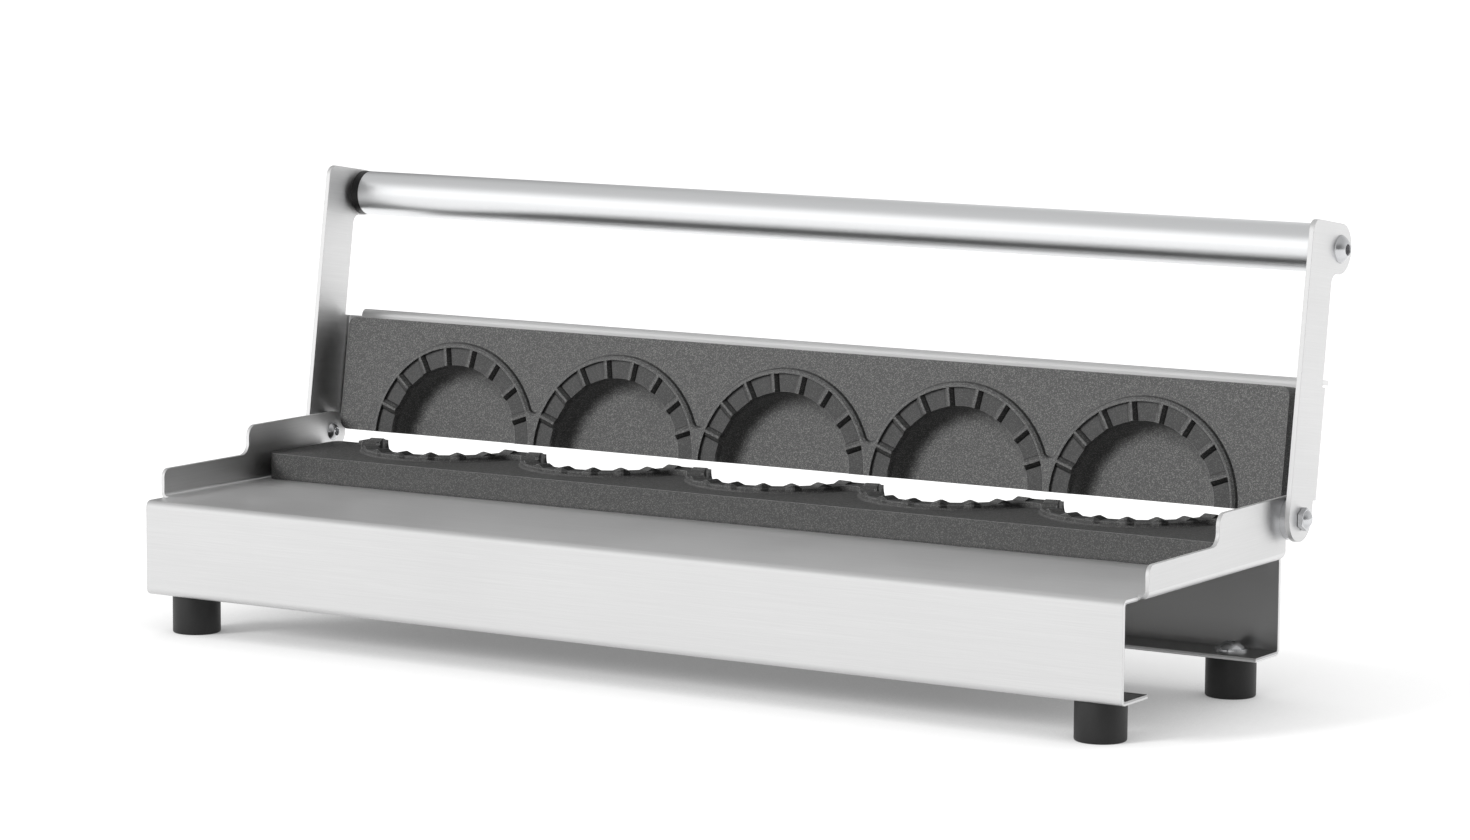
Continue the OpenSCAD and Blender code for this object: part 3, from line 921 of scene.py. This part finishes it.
    def drawn_depth(self, tree: Tree, bay: BayPlace) -> Node:
        """Depth in mm that makes the flanks of ribs and lips look steeper.

        Args:
            tree: The material's node tree.
            bay: Place round the bay.

        Returns:
            The depth.
        """
        begin, full = (under * MM for under in self.lip_span)
        low = add(
            tree, "ShaderNodeMapRange", (bay.level, begin, full, 0.0, self.lip_relief)
        )
        lip = (self.outer + self.lip_gap) * MM
        outside = add(tree, "ShaderNodeMath", (bay.far, lip), operation="GREATER_THAN")
        foot = add(tree, "ShaderNodeMath", (low, outside), operation="MULTIPLY")
        ribs = self.beside_ribs(tree, bay)
        return add(
            tree, "ShaderNodeMath", (ribs, self.relief_depth, foot), operation="MULTIPLY_ADD"
        )

    def beside_ribs(self, tree: Tree, bay: BayPlace) -> Node:
        """Share that grows down the ribs' flanks and holds over the pads between them.

        Args:
            tree: The material's node tree.
            bay: Place round the bay.

        Returns:
            The share, from 0 on the crests to 1 on the pads.
        """
        step = math.pi / self.pad_count
        last = self.pad_count - int(self.first_rib) - 1.0
        inputs = (bay.angle, 1 / step, -self.first_rib)
        turns = add(tree, "ShaderNodeMath", inputs, operation="MULTIPLY_ADD")
        rib = add(tree, "ShaderNodeMath", (turns,), operation="ROUND")
        rib = add(tree, "ShaderNodeClamp", (rib, 0.0, last))
        off = add(tree, "ShaderNodeMath", (turns, rib), operation="SUBTRACT")
        along = add(tree, "ShaderNodeMath", (off, bay.far), operation="MULTIPLY")
        away = add(tree, "ShaderNodeMath", (along,), operation="ABSOLUTE")
        crest, foot = (w / 2 * MM / step for w in (self.rib_crest, self.rib_foot))
        depth = add(tree, "ShaderNodeMapRange", (away, crest, foot))
        below = add(tree, "ShaderNodeMath", (bay.level,), operation="ABSOLUTE")
        begin, end = (under * MM for under in self.relief_fade)
        fade = add(tree, "ShaderNodeMapRange", (below, begin, end, 1.0, 0.0))
        inside = add(
            tree, "ShaderNodeMath", (bay.far, self.outer * MM), operation="LESS_THAN"
        )
        near = add(tree, "ShaderNodeMath", (fade, inside), operation="MULTIPLY")
        return add(tree, "ShaderNodeMath", (depth, near), operation="MULTIPLY")


@dataclass(frozen=True)
class MouldedBlack(Finish):
    """Black moulded rubber or polyamide: a satin skin with a fine mould grain and a
    faint dusty bloom.

    Attributes:
        title: Name of the material.
        colour: Its colour.
        bloom: Colour of the bloom.
        grit: Width of the mould's grain in millimetres.
        gloss: Roughness at its lowest.
        ior: Index of refraction.
        dull: What the grain adds to the roughness at most.
        bloom_size: Width of a patch of bloom in millimetres.
        bloom_span: Noise at which a patch begins, and at which it is full.
        bloom_most: Share of the bloom's colour in a full patch.
    """

    title: str
    colour: str
    bloom: str
    grit: float
    gloss: float
    ior: float
    dull: float = 0.12
    bloom_size: float = 9.0
    bloom_span: tuple[float, float] = (0.45, 0.8)
    bloom_most: float = 0.5

    def build(self) -> Material:
        """Builds the material.

        Returns:
            The finish that the pieces get.
        """
        material, tree = self.start(self.title)
        place = add(tree, "ShaderNodeTexCoord").outputs["Object"]
        grain, dust = (
            add(
                tree,
                "ShaderNodeTexNoise",
                {"Vector": place, "Scale": 1 / (size * MM), "Detail": detail},
            )
            for size, detail in ((self.grit, 4.0), (self.bloom_size, 3.0))
        )
        share = add(
            tree, "ShaderNodeMapRange", (dust, *self.bloom_span, 0.0, self.bloom_most)
        )
        colours = {0: share, 6: linear(self.colour), 7: linear(self.bloom)}
        rough = (grain, *NOISE_SPAN, self.gloss, self.gloss + self.dull)
        self.close(
            tree,
            {
                "Base Color": add(tree, "ShaderNodeMix", colours, data_type="RGBA"),
                "Roughness": add(tree, "ShaderNodeMapRange", rough),
                "IOR": self.ior,
                "Normal": self.relief(tree, grain, strength=0.3, depth=0.03, edge=0.4),
            },
        )
        return material


@dataclass(frozen=True)
class BrightSteel(Finish):
    """Bright stainless fasteners: turned, with rings about their own axis, or tumbled,
    with a soft mottle. Rings and mottle are drawn coarser than real ones.

    Attributes:
        title: Name of the material.
        turned: True for rings about the Z axis of the piece.
        colour: Its colour.
        gloss: Roughness at its lowest.
        dull: What the pattern adds to the roughness at most.
        ring: Width of a ring in millimetres.
        mottle: Width of a spot of the mottle in millimetres.
    """

    title: str
    turned: bool = False
    colour: str = "#CDCED0"
    gloss: float = 0.16
    dull: float = 0.12
    ring: float = 0.25
    mottle: float = 0.7

    def build(self) -> Material:
        """Builds the material.

        Returns:
            The finish that the pieces get.
        """
        material, tree = self.start(self.title)
        source: Socket | Node = add(tree, "ShaderNodeTexCoord").outputs["Object"]
        if self.turned:
            wide, deep, _ = add(tree, "ShaderNodeSeparateXYZ", (source,)).outputs
            level = add(tree, "ShaderNodeCombineXYZ", (wide, deep))
            far = add(tree, "ShaderNodeVectorMath", (level,), operation="LENGTH")
            source = add(tree, "ShaderNodeCombineXYZ", (far,))
        size = self.ring if self.turned else self.mottle
        inputs = {"Vector": source, "Scale": 1 / (size * MM), "Detail": 3.0}
        grain = add(tree, "ShaderNodeTexNoise", inputs)
        rough = (grain, *NOISE_SPAN, self.gloss, self.gloss + self.dull)
        self.close(
            tree,
            {
                "Base Color": linear(self.colour),
                "Metallic": 1.0,
                "Roughness": add(tree, "ShaderNodeMapRange", rough),
                "Normal": self.relief(tree, grain, strength=0.3, depth=0.01, edge=0.2),
            },
        )
        return material


@dataclass(frozen=True)
class StudioFloor(Finish):
    """Matt pale grey paper sweep. It takes the press's shadow, and what the camera, metal
    and glass see of it is lifted to the white of the background; below the press the lift
    fades, a painted shadow where little light comes in.

    Attributes:
        colour: Colour of the paper.
        lift: Strength of the lift in the open, where one is white.
        covered: Strength of the lift under the press.
        reach: How far off the press still covers the paper, in metres.
        open_span: Share of open sky at which the lift begins, and at which it is full.
    """

    colour: str = "#A8A8A8"
    lift: float = 1.0
    covered: float = 0.17
    reach: float = 0.17
    open_span: tuple[float, float] = (0.05, 0.97)

    def build(self) -> Material:
        """Builds the material.

        Returns:
            The finish that the pieces get.
        """
        material, tree = self.start("Pale paper sweep")
        matt = {"Color": linear(self.colour), "Roughness": 0.5}
        paper = add(tree, "ShaderNodeBsdfDiffuse", matt)
        reach = {"Distance": self.reach}
        sky = add(tree, "ShaderNodeAmbientOcclusion", reach, samples=8).outputs["AO"]
        # Painted shadow: the lift fades where the press covers the paper.
        lift = add(
            tree, "ShaderNodeMapRange", (sky, *self.open_span, self.covered, self.lift)
        )
        lift = add(tree, "ShaderNodeMath", (seen_plainly(tree), lift), operation="MULTIPLY")
        glow = add(tree, "ShaderNodeEmission", {"Color": WHITE, "Strength": lift})
        both = add(tree, "ShaderNodeAddShader", (paper, glow))
        add(tree, "ShaderNodeOutputMaterial", {"Surface": both})
        return material


def seen_plainly(tree: Tree) -> Node:
    """One for what the camera sees itself, in metal or through glass.

    Args:
        tree: The node tree of a material or of the world.

    Returns:
        The mask.
    """
    path = add(tree, "ShaderNodeLightPath").outputs
    rays = (path["Is Glossy Ray"], path["Is Transmission Ray"])
    rays = (path["Is Camera Ray"], add(tree, "ShaderNodeMath", rays, operation="MAXIMUM"))
    return add(tree, "ShaderNodeMath", rays, operation="MAXIMUM")


# Fasteners and feet


@dataclass(frozen=True)
class ButtonScrew:
    """Button-head screw with a hexagon socket. Sizes in millimetres.

    Attributes:
        head_r: Radius of the head.
        head_h: Height of the head.
        shank_r: Radius of the shank.
        length: Length of the shank.
        flat_share: Half the socket's width across flats, over the head's radius.
        rim_share: Height of the head's upright rim, over its own.
        land_share: Radius of the flat round the socket, over that of its corners.
        lip_share: Radius of the socket's own corners with their room, over theirs.
        floor_share: Height of the socket's floor, over the head's.
        tip_share: Radius of the shank's tip, over its own.
        tip_h: Height of the tip's bevel, over the shank's radius.
        edge: How far the rim's foot is rounded inwards, and how high.
        lip: Depth of the socket's rounded lip.
        drill: Depth of the drill's cone below the socket's floor, at half its width
            and in its middle.
    """

    head_r: float
    head_h: float
    shank_r: float
    length: float
    flat_share: float = 0.36
    rim_share: float = 0.16
    land_share: float = 1.12
    lip_share: float = 1.02
    floor_share: float = 0.4
    tip_share: float = 0.82
    tip_h: float = 0.2
    edge: tuple[float, float] = (0.25, 0.2)
    lip: float = 0.28
    drill: tuple[float, float] = (0.3, 0.5)

    @property
    def tall(self) -> float:
        """Height above its seat."""
        return self.head_h

    @property
    def socket_steps(self) -> int:
        """Number of steps at the profile's end that lie in the socket."""
        return 4

    def rings(self) -> list[Ring]:
        """The screw's profile, from the shank's tip over the head into the socket.

        Returns:
            The rings along it.
        """
        flat = self.head_r * self.flat_share
        corner = flat / math.cos(math.pi / 6)
        rim = self.head_h * self.rim_share
        top_r = corner * self.land_share
        rise = self.head_h - rim
        ball = ((self.head_r**2 - top_r**2) + rise**2) / (2 * rise)
        ball = math.hypot(top_r, ball)
        centre = self.head_h - math.sqrt(ball**2 - top_r**2)
        low = math.degrees(math.asin((rim - centre) / ball))
        high = math.degrees(math.asin((self.head_h - centre) / ball))
        wide = corner * self.lip_share
        deep = self.head_h * self.floor_share
        return [
            Ring(-self.length, self.shank_r * self.tip_share),
            Ring(-self.length + self.shank_r * self.tip_h, self.shank_r),
            Ring(0.0, self.shank_r),
            Ring(0.0, self.head_r - self.edge[0]),
            Ring(self.edge[1], self.head_r),
            *arc((0.0, centre), ball, low, high, 10),
            Ring(self.head_h - 0.02, wide * 1.03),
            Ring(self.head_h - self.lip, wide, flat),
            Ring(deep, wide, flat),
            Ring(deep - self.drill[0], flat * 0.5),
            Ring(deep - self.drill[1], 0.05),
        ]


@dataclass(frozen=True)
class CapNut:
    """Domed cap nut. Sizes in millimetres.

    Attributes:
        width: Width across the flats.
        hex_h: Height of the hexagon.
        dome_h: Height of the dome above it.
        neck_share: Radius of the dome's foot, over half the width.
        bevel: Degrees at which the hexagon's top corners are turned off.
        bevel_shares: Points along that bevel, as shares of what a corner stands out.
        seat_edge: Height over which the seat's corners are broken.
    """

    width: float
    hex_h: float
    dome_h: float
    neck_share: float = 0.9
    bevel: float = 30.0
    bevel_shares: tuple[float, float] = (0.6, 0.25)
    seat_edge: float = 0.12

    @property
    def tall(self) -> float:
        """Height above its seat."""
        return self.hex_h + self.dome_h

    @property
    def socket_steps(self) -> int:
        """A cap nut has no socket."""
        return 0

    def rings(self) -> list[Ring]:
        """The nut's profile from its seat to the top of its dome.

        Returns:
            The rings along it.
        """
        flat = self.width / 2
        corner = flat / math.cos(math.pi / 6)
        slope = math.tan(math.radians(self.bevel))
        radii = [corner, *(flat + (corner - flat) * s for s in self.bevel_shares), flat]
        top = [Ring(self.hex_h - (r - flat) * slope, r, flat) for r in radii]
        neck = flat * self.neck_share
        ball = (neck**2 + self.dome_h**2) / (2 * self.dome_h)
        centre = self.tall - ball
        low = math.degrees(math.asin((self.hex_h - centre) / ball))
        return [
            Ring(0.0, flat * 0.98, flat),
            Ring(self.seat_edge, corner, flat),
            *top,
            Ring(self.hex_h, flat * 0.97),
            Ring(self.hex_h, neck),
            *arc((0.0, centre), ball, low, 89.0, 12),
        ]


@dataclass(frozen=True)
class RubberFoot:
    """Moulded rubber buffer. Sizes in millimetres.

    Attributes:
        radius: Radius of the foot.
        height: Its height.
        edge: Radius round its lower edge.
        top_edge: Radius round its upper edge.
        dish_h: Depth of the dish in its base.
        dish_r: Radius of the dish's floor and of its rim.
        bore_r: Radius of the screw's hole, below and above.
    """

    radius: float = 12.5
    height: float = 20.0
    edge: float = 1.0
    top_edge: float = 0.4
    dish_h: float = 0.6
    dish_r: tuple[float, float] = (7.6, 8.4)
    bore_r: tuple[float, float] = (3.4, 3.1)

    def rings(self) -> list[Ring]:
        """The foot's profile: a dished base, a rolled edge, the wall and its top edge.

        Returns:
            The rings along it.
        """
        r, h, low, high = self.radius, self.height, self.edge, self.top_edge
        return [
            Ring(self.dish_h, self.bore_r[0]),
            Ring(self.dish_h, self.dish_r[0]),
            Ring(0.0, self.dish_r[1]),
            *arc((r - low, low), low, -90.0, 0.0, 6),
            *arc((r - high, h - high), high, 0.0, 90.0, 3),
            Ring(h, self.bore_r[1]),
        ]


def fasten(
    node: str,
    marks: Iterable[str | int],
    shape: ButtonScrew | CapNut,
    axes: Iterable[Vector],
    body: Body,
    *materials: Material,
) -> None:
    """Builds the screws or nuts of a CAD node, from low X to high X.

    Args:
        node: The CAD node, whose name ends in a plural s.
        marks: What each piece has after the node's name.
        shape: Their shape.
        axes: The way that each one's head looks.
        body: The body that carries them.
        materials: Their finish, and that of the sockets if it is another.
    """
    recess = shape.socket_steps if len(materials) > 1 else 0
    for mark, axis, points in zip(marks, axes, solids_of(node)):
        mesh = turn_mesh(f"{node.removesuffix('s')}_{mark}", shape.rings(), recess=recess)
        seat = seat_on(points, axis, shape.tall * MM)
        put(mesh, seat, body, node, Slot.FASTENER, *materials)


# The press


@dataclass(frozen=True)
class Finishes:
    """Every finish of the press, built once."""

    tray_sheet: Material
    lid_sheet: Material
    tube: Material
    lower_coating: Material
    upper_coating: Material
    rubber: Material
    polymer: Material
    turned: Material
    tumbled: Material
    socket: Material

    @classmethod
    def make(cls, lean: float) -> Finishes:
        """Builds the finishes.

        Args:
            lean: Degrees that the open lid leans back.

        Returns:
            The set of materials.
        """
        finishes = {
            "tray_sheet": BrushedSheet(
                "tray", 0.0, side=287.5, floor=71.5, hollow=(-24.92, 81.1, 44.6, 23.6)
            ),
            "lid_sheet": BrushedSheet("lid", lean, side=294.1, floor=0.0),
            "tube": GroundTube(),
            "lower_coating": SpeckledCoating(
                "lower",
                tilt=90.0,
                centre=(56.48, 86.4),
                outer=48.6,
                first_rib=0.5,
                rib_foot=8.4,
                # The lower mould's skin and flecks are drawn darker than the upper's, a
                # painted shade on the same coating.
                colour="#4A4A4A",
                fleck="#767674",
            ),
            "upper_coating": SpeckledCoating(
                "upper",
                tilt=-lean,
                centre=(57.37, 88.66),
                outer=50.3,
                first_rib=1.0,
                rib_foot=6.0,
                lip_relief=0.9,
            ),
            "rubber": MouldedBlack("Moulded rubber", "#141414", "#1F1F1F", 0.5, 0.42, 1.52),
            "polymer": MouldedBlack(
                "Moulded polyamide", "#101011", "#1A1A1B", 0.35, 0.34, 1.53
            ),
            "turned": BrightSteel("Bright stainless fastener, turned", turned=True),
            "tumbled": BrightSteel("Bright stainless fastener, tumbled"),
            # The socket is rougher, as forged steel is, and a little darker than the head, a
            # painted shade in the recess.
            "socket": BrightSteel("Cold-forged steel socket, painted shade", colour="#C0C0C2", gloss=0.55),
        }
        return cls(**{name: finish.build() for name, finish in finishes.items()})


@dataclass(frozen=True)
class Tray:
    """The folded tray, with the lower mould screwed down on its deck.

    Attributes:
        screw: The screws from below the deck.
    """

    screw: ButtonScrew = ButtonScrew(5.5, 3.3, 3.0, 10.0)

    def build(self, finishes: Finishes) -> None:
        """Dresses the sheet and builds the mould screws.

        Args:
            finishes: The finishes of the press.
        """
        dress("base_tray", finishes.tray_sheet)
        down = repeat(Vector((0.0, 0.0, -1.0)))
        screws = "lower_mould_screws"
        fasten(screws, count(1), self.screw, down, Body.BASE, finishes.turned)


@dataclass(frozen=True)
class Feet:
    """The four rubber feet, with a washer and a screw on each.

    Attributes:
        foot: The rubber buffer.
        screw: The screw down into it.
    """

    foot: RubberFoot = RubberFoot()
    screw: ButtonScrew = ButtonScrew(6.5, 3.6, 3.0, 11.6)

    def build(self, finishes: Finishes) -> None:
        """Builds the feet and their screws and dresses the washers.

        Args:
            finishes: The finishes of the press.
        """
        for node in (f"foot_{end}_{side}" for end in ("front", "rear") for side in SIDES):
            low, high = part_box(node)
            middle = (low + high) / 2
            seat = Matrix.Translation((middle.x, middle.y, low.z))
            mesh = turn_mesh(f"rubber_{node}", self.foot.rings(), segments=96)
            put(mesh, seat, Body.BASE, node, Slot.RUBBER, finishes.rubber)
        up = repeat(Vector((0.0, 0.0, 1.0)))
        fasten("foot_screws", count(1), self.screw, up, Body.BASE, finishes.turned)
        dress("foot_washers", finishes.tumbled)


@dataclass(frozen=True)
class Pivots:
    """The two side pivots: screw, spacer and cap nut.

    Attributes:
        screw: The screw from inside the side flange.
        nut: The cap nut outside the arm.
    """

    screw: ButtonScrew = ButtonScrew(5.0, 2.7, 3.0, 12.0)
    nut: CapNut = CapNut(10.0, 2.8, 2.4)

    def build(self, finishes: Finishes) -> None:
        """Builds screws and nuts and dresses the spacers.

        Args:
            finishes: The finishes of the press.
        """
        for node, shape, way in (
            ("pivot_screws", self.screw, -1),
            ("pivot_nuts", self.nut, 1),
        ):
            axes = (Vector((way * side, 0.0, 0.0)) for side in SIDES.values())
            fasten(node, SIDES, shape, axes, Body.BASE, finishes.turned)
        for side in SIDES:
            dress(f"pivot_spacer_{side}", finishes.tumbled)


@dataclass(frozen=True)
class Moulds:
    """The two coated moulds."""

    def build(self, finishes: Finishes) -> None:
        """Dresses both castings."""
        dress("lower_mould", finishes.lower_coating)
        dress("upper_mould", finishes.upper_coating)


@dataclass(frozen=True)
class Lid:
    """The folded lid frame with the screws that hold the upper mould.

    Attributes:
        lean: Degrees that the open lid leans back.
        screw: The screws from behind the panel.
    """

    lean: float = 8.63
    screw: ButtonScrew = ButtonScrew(5.5, 3.3, 3.0, 10.5)

    def build(self, finishes: Finishes) -> None:
        """Dresses the sheet and builds the mould screws.

        Args:
            finishes: The finishes of the press.
        """
        dress("lid_frame", finishes.lid_sheet)
        angle = math.radians(self.lean)
        back = repeat(Vector((0.0, math.cos(angle), -math.sin(angle))))
        screws = "upper_mould_screws"
        fasten(screws, count(1), self.screw, back, Body.LID, finishes.turned)


@dataclass(frozen=True)
class Handle:
    """The tube handle between the arms.

    Attributes:
        screw: The screws through the arms into the tube's plugs.
    """

    screw: ButtonScrew = ButtonScrew(7.0, 4.4, 4.0, 30.0)

    def build(self, finishes: Finishes) -> None:
        """Dresses tube, collars and plugs and builds the screws.

        Args:
            finishes: The finishes of the press.
        """
        dress("handle_tube", finishes.tube)
        for side in SIDES:
            dress(f"handle_collar_{side}", finishes.polymer)
            dress(f"handle_plug_{side}", finishes.tumbled)
        out = (Vector((side, 0.0, 0.0)) for side in SIDES.values())
        metals = (finishes.turned, finishes.socket)
        fasten("handle_screws", SIDES, self.screw, out, Body.LID, *metals)


# The studio


@dataclass(frozen=True)
class Softlight:
    """A distant soft lamp, so that near and far are lit alike. Metal shows the walls of
    the studio and not the lamp itself.

    Attributes:
        name: Its name.
        towards: Direction from the press to the lamp.
        strength: Strength, of which pi lights a white face fully.
        spread: Width of the lamp in degrees.
    """

    name: str = "key_light"
    towards: tuple[float, float, float] = (-0.50, -0.77, 0.39)
    strength: float = 3.0
    spread: float = 18.0

    def build(self) -> None:
        """Makes the lamp."""
        lamp = bpy.data.lights.new(self.name, "SUN")
        lamp.energy = self.strength
        lamp.angle = math.radians(self.spread)
        stand = bpy.data.objects.new(self.name, lamp)
        bpy.context.scene.collection.objects.link(stand)
        stand.visible_glossy = False
        stand.rotation_mode = "QUATERNION"
        stand.rotation_quaternion = Vector(self.towards).to_track_quat("Z", "Y")
        LOG.info("%s is lit", self.name)


@dataclass(frozen=True)
class Viewpoint:
    """The camera, at the photograph's viewing angle. Lengths in millimetres.

    Attributes:
        azimuth: Degrees round the press, 0 being straight in front.
        elevation: Degrees above the horizon.
        roll: Degrees that the camera leans over.
        distance: Distance from the target.
        target: The point in the middle of the picture.
        sensor: Width of the sensor.
        lens: Focal length.
        clip: Distance in metres beyond which nothing shows, past the floor's far end.
    """

    azimuth: float = 32.0
    elevation: float = 7.26
    roll: float = 0.32
    distance: float = 2401.7
    target: tuple[float, float, float] = (23.5, -24.92, 125.34)
    sensor: float = 36.0
    lens: float = 117.79
    clip: float = 50.0

    def build(self) -> None:
        """Makes the camera and gives it to the scene."""
        a, e, tilt = (math.radians(v) for v in (self.azimuth, self.elevation, self.roll))
        back = Vector((math.sin(a) * math.cos(e), -math.cos(a) * math.cos(e), math.sin(e)))
        right = Vector((math.cos(a), math.sin(a), 0.0))
        up = back.cross(right)
        wide = right * math.cos(tilt) + up * math.sin(tilt)
        tall = up * math.cos(tilt) - right * math.sin(tilt)
        turn = Matrix((wide, tall, back)).transposed().to_4x4()
        lens = bpy.data.cameras.new("studio_camera")
        lens.lens = self.lens
        lens.sensor_width = self.sensor
        lens.clip_end = self.clip
        camera = bpy.data.objects.new("studio_camera", lens)
        bpy.context.scene.collection.objects.link(camera)
        place = (Vector(self.target) + back * self.distance) * MM
        camera.matrix_world = Matrix.Translation(place) @ turn
        bpy.context.scene.camera = camera


@dataclass(frozen=True)
class Studio:
    """Pale floor, white background, a soft lamp, and walls that only metal shows.

    Each span below holds the parts of a direction in the world between which one
    brightness goes over into the other.

    Attributes:
        floor_size: Width of the floor in metres.
        ambient: Strength of the light from all round.
        front: Brightness of the walls before the press as metal shows them.
        dark_end: Brightness of their right end, where the room is unlit.
        dark_span: Where along X that end begins.
        rear: Brightness of the walls behind it.
        far_left: Brightness of their left end.
        left_span: Where along X that end begins.
        turn_span: Where along Y the front goes over into the rear.
        ceiling: Brightness of the ceiling.
        ceiling_span: Where along Z the walls go over into it.
        ambient_span: Where along Z the light from all round grows dimmer.
        view: The camera.
        lamp: The soft lamp.
    """

    floor_size: float = 24.0
    ambient: float = 0.16
    front: float = 1.35
    dark_end: float = 0.25
    dark_span: tuple[float, float] = (0.0, 0.4)
    rear: float = 0.82
    far_left: float = 0.0
    left_span: tuple[float, float] = (-0.60, -0.50)
    turn_span: tuple[float, float] = (-0.4, 0.4)
    ceiling: float = 0.62
    ceiling_span: tuple[float, float] = (0.4, 0.75)
    ambient_span: tuple[float, float] = (0.2, 0.8)
    view: Viewpoint = Viewpoint()
    lamp: Softlight = Softlight()

    def build(self) -> None:
        """Builds camera, lamp, floor and world."""
        self.view.build()
        self.lamp.build()
        half = self.floor_size / 2
        mesh = bpy.data.meshes.new("paper_floor")
        corners = [(-half, -half, 0), (half, -half, 0), (half, half, 0), (-half, half, 0)]
        mesh.from_pydata(corners, [], [(0, 1, 2, 3)])
        mesh.materials.append(StudioFloor().build())
        floor = bpy.data.objects.new("paper_floor", mesh)
        bpy.context.scene.collection.objects.link(floor)
        self.surround()

    def surround(self) -> None:
        """Builds the world: white to the camera, walls and ceiling to metal, and dim
        where it only lights."""
        world = bpy.data.worlds.new("studio")
        bpy.context.scene.world = world
        world.use_nodes = True
        tree = world.node_tree
        tree.nodes.clear()
        way = add(tree, "ShaderNodeTexCoord").outputs["Generated"]
        x, y, z = add(tree, "ShaderNodeSeparateXYZ", (way,)).outputs
        before = add(
            tree, "ShaderNodeMapRange", (x, *self.dark_span, self.front, self.dark_end)
        )
        behind = add(
            tree, "ShaderNodeMapRange", (x, *self.left_span, self.far_left, self.rear)
        )
        walls = add(tree, "ShaderNodeMapRange", (y, *self.turn_span, before, behind))
        room = add(tree, "ShaderNodeMapRange", (z, *self.ceiling_span, walls, self.ceiling))
        camera = add(tree, "ShaderNodeLightPath").outputs["Is Camera Ray"]
        seen = add(tree, "ShaderNodeMix", {0: camera, 2: room, 3: 1.0})
        above = self.ambient * self.ceiling
        light = add(
            tree, "ShaderNodeMapRange", (z, *self.ambient_span, self.ambient, above)
        )
        strength = add(tree, "ShaderNodeMix", {0: seen_plainly(tree), 2: light, 3: seen})
        sky = add(tree, "ShaderNodeBackground", {"Color": WHITE, "Strength": strength})
        add(tree, "ShaderNodeOutputWorld", {"Surface": sky})


def main() -> None:
    """Builds the studio and the press, part by part."""
    logging.basicConfig(level=logging.INFO, format="%(message)s")
    Studio().build()
    lid = Lid()
    finishes = Finishes.make(lid.lean)
    for assembly in (Tray(), Feet(), Pivots(), Moulds(), lid, Handle()):
        LOG.info("building %s", type(assembly).__name__)
        assembly.build(finishes)
    bpy.context.scene.view_settings.view_transform = "Standard"
    bpy.context.view_layer.update()


if __name__ == "__main__":
    main()
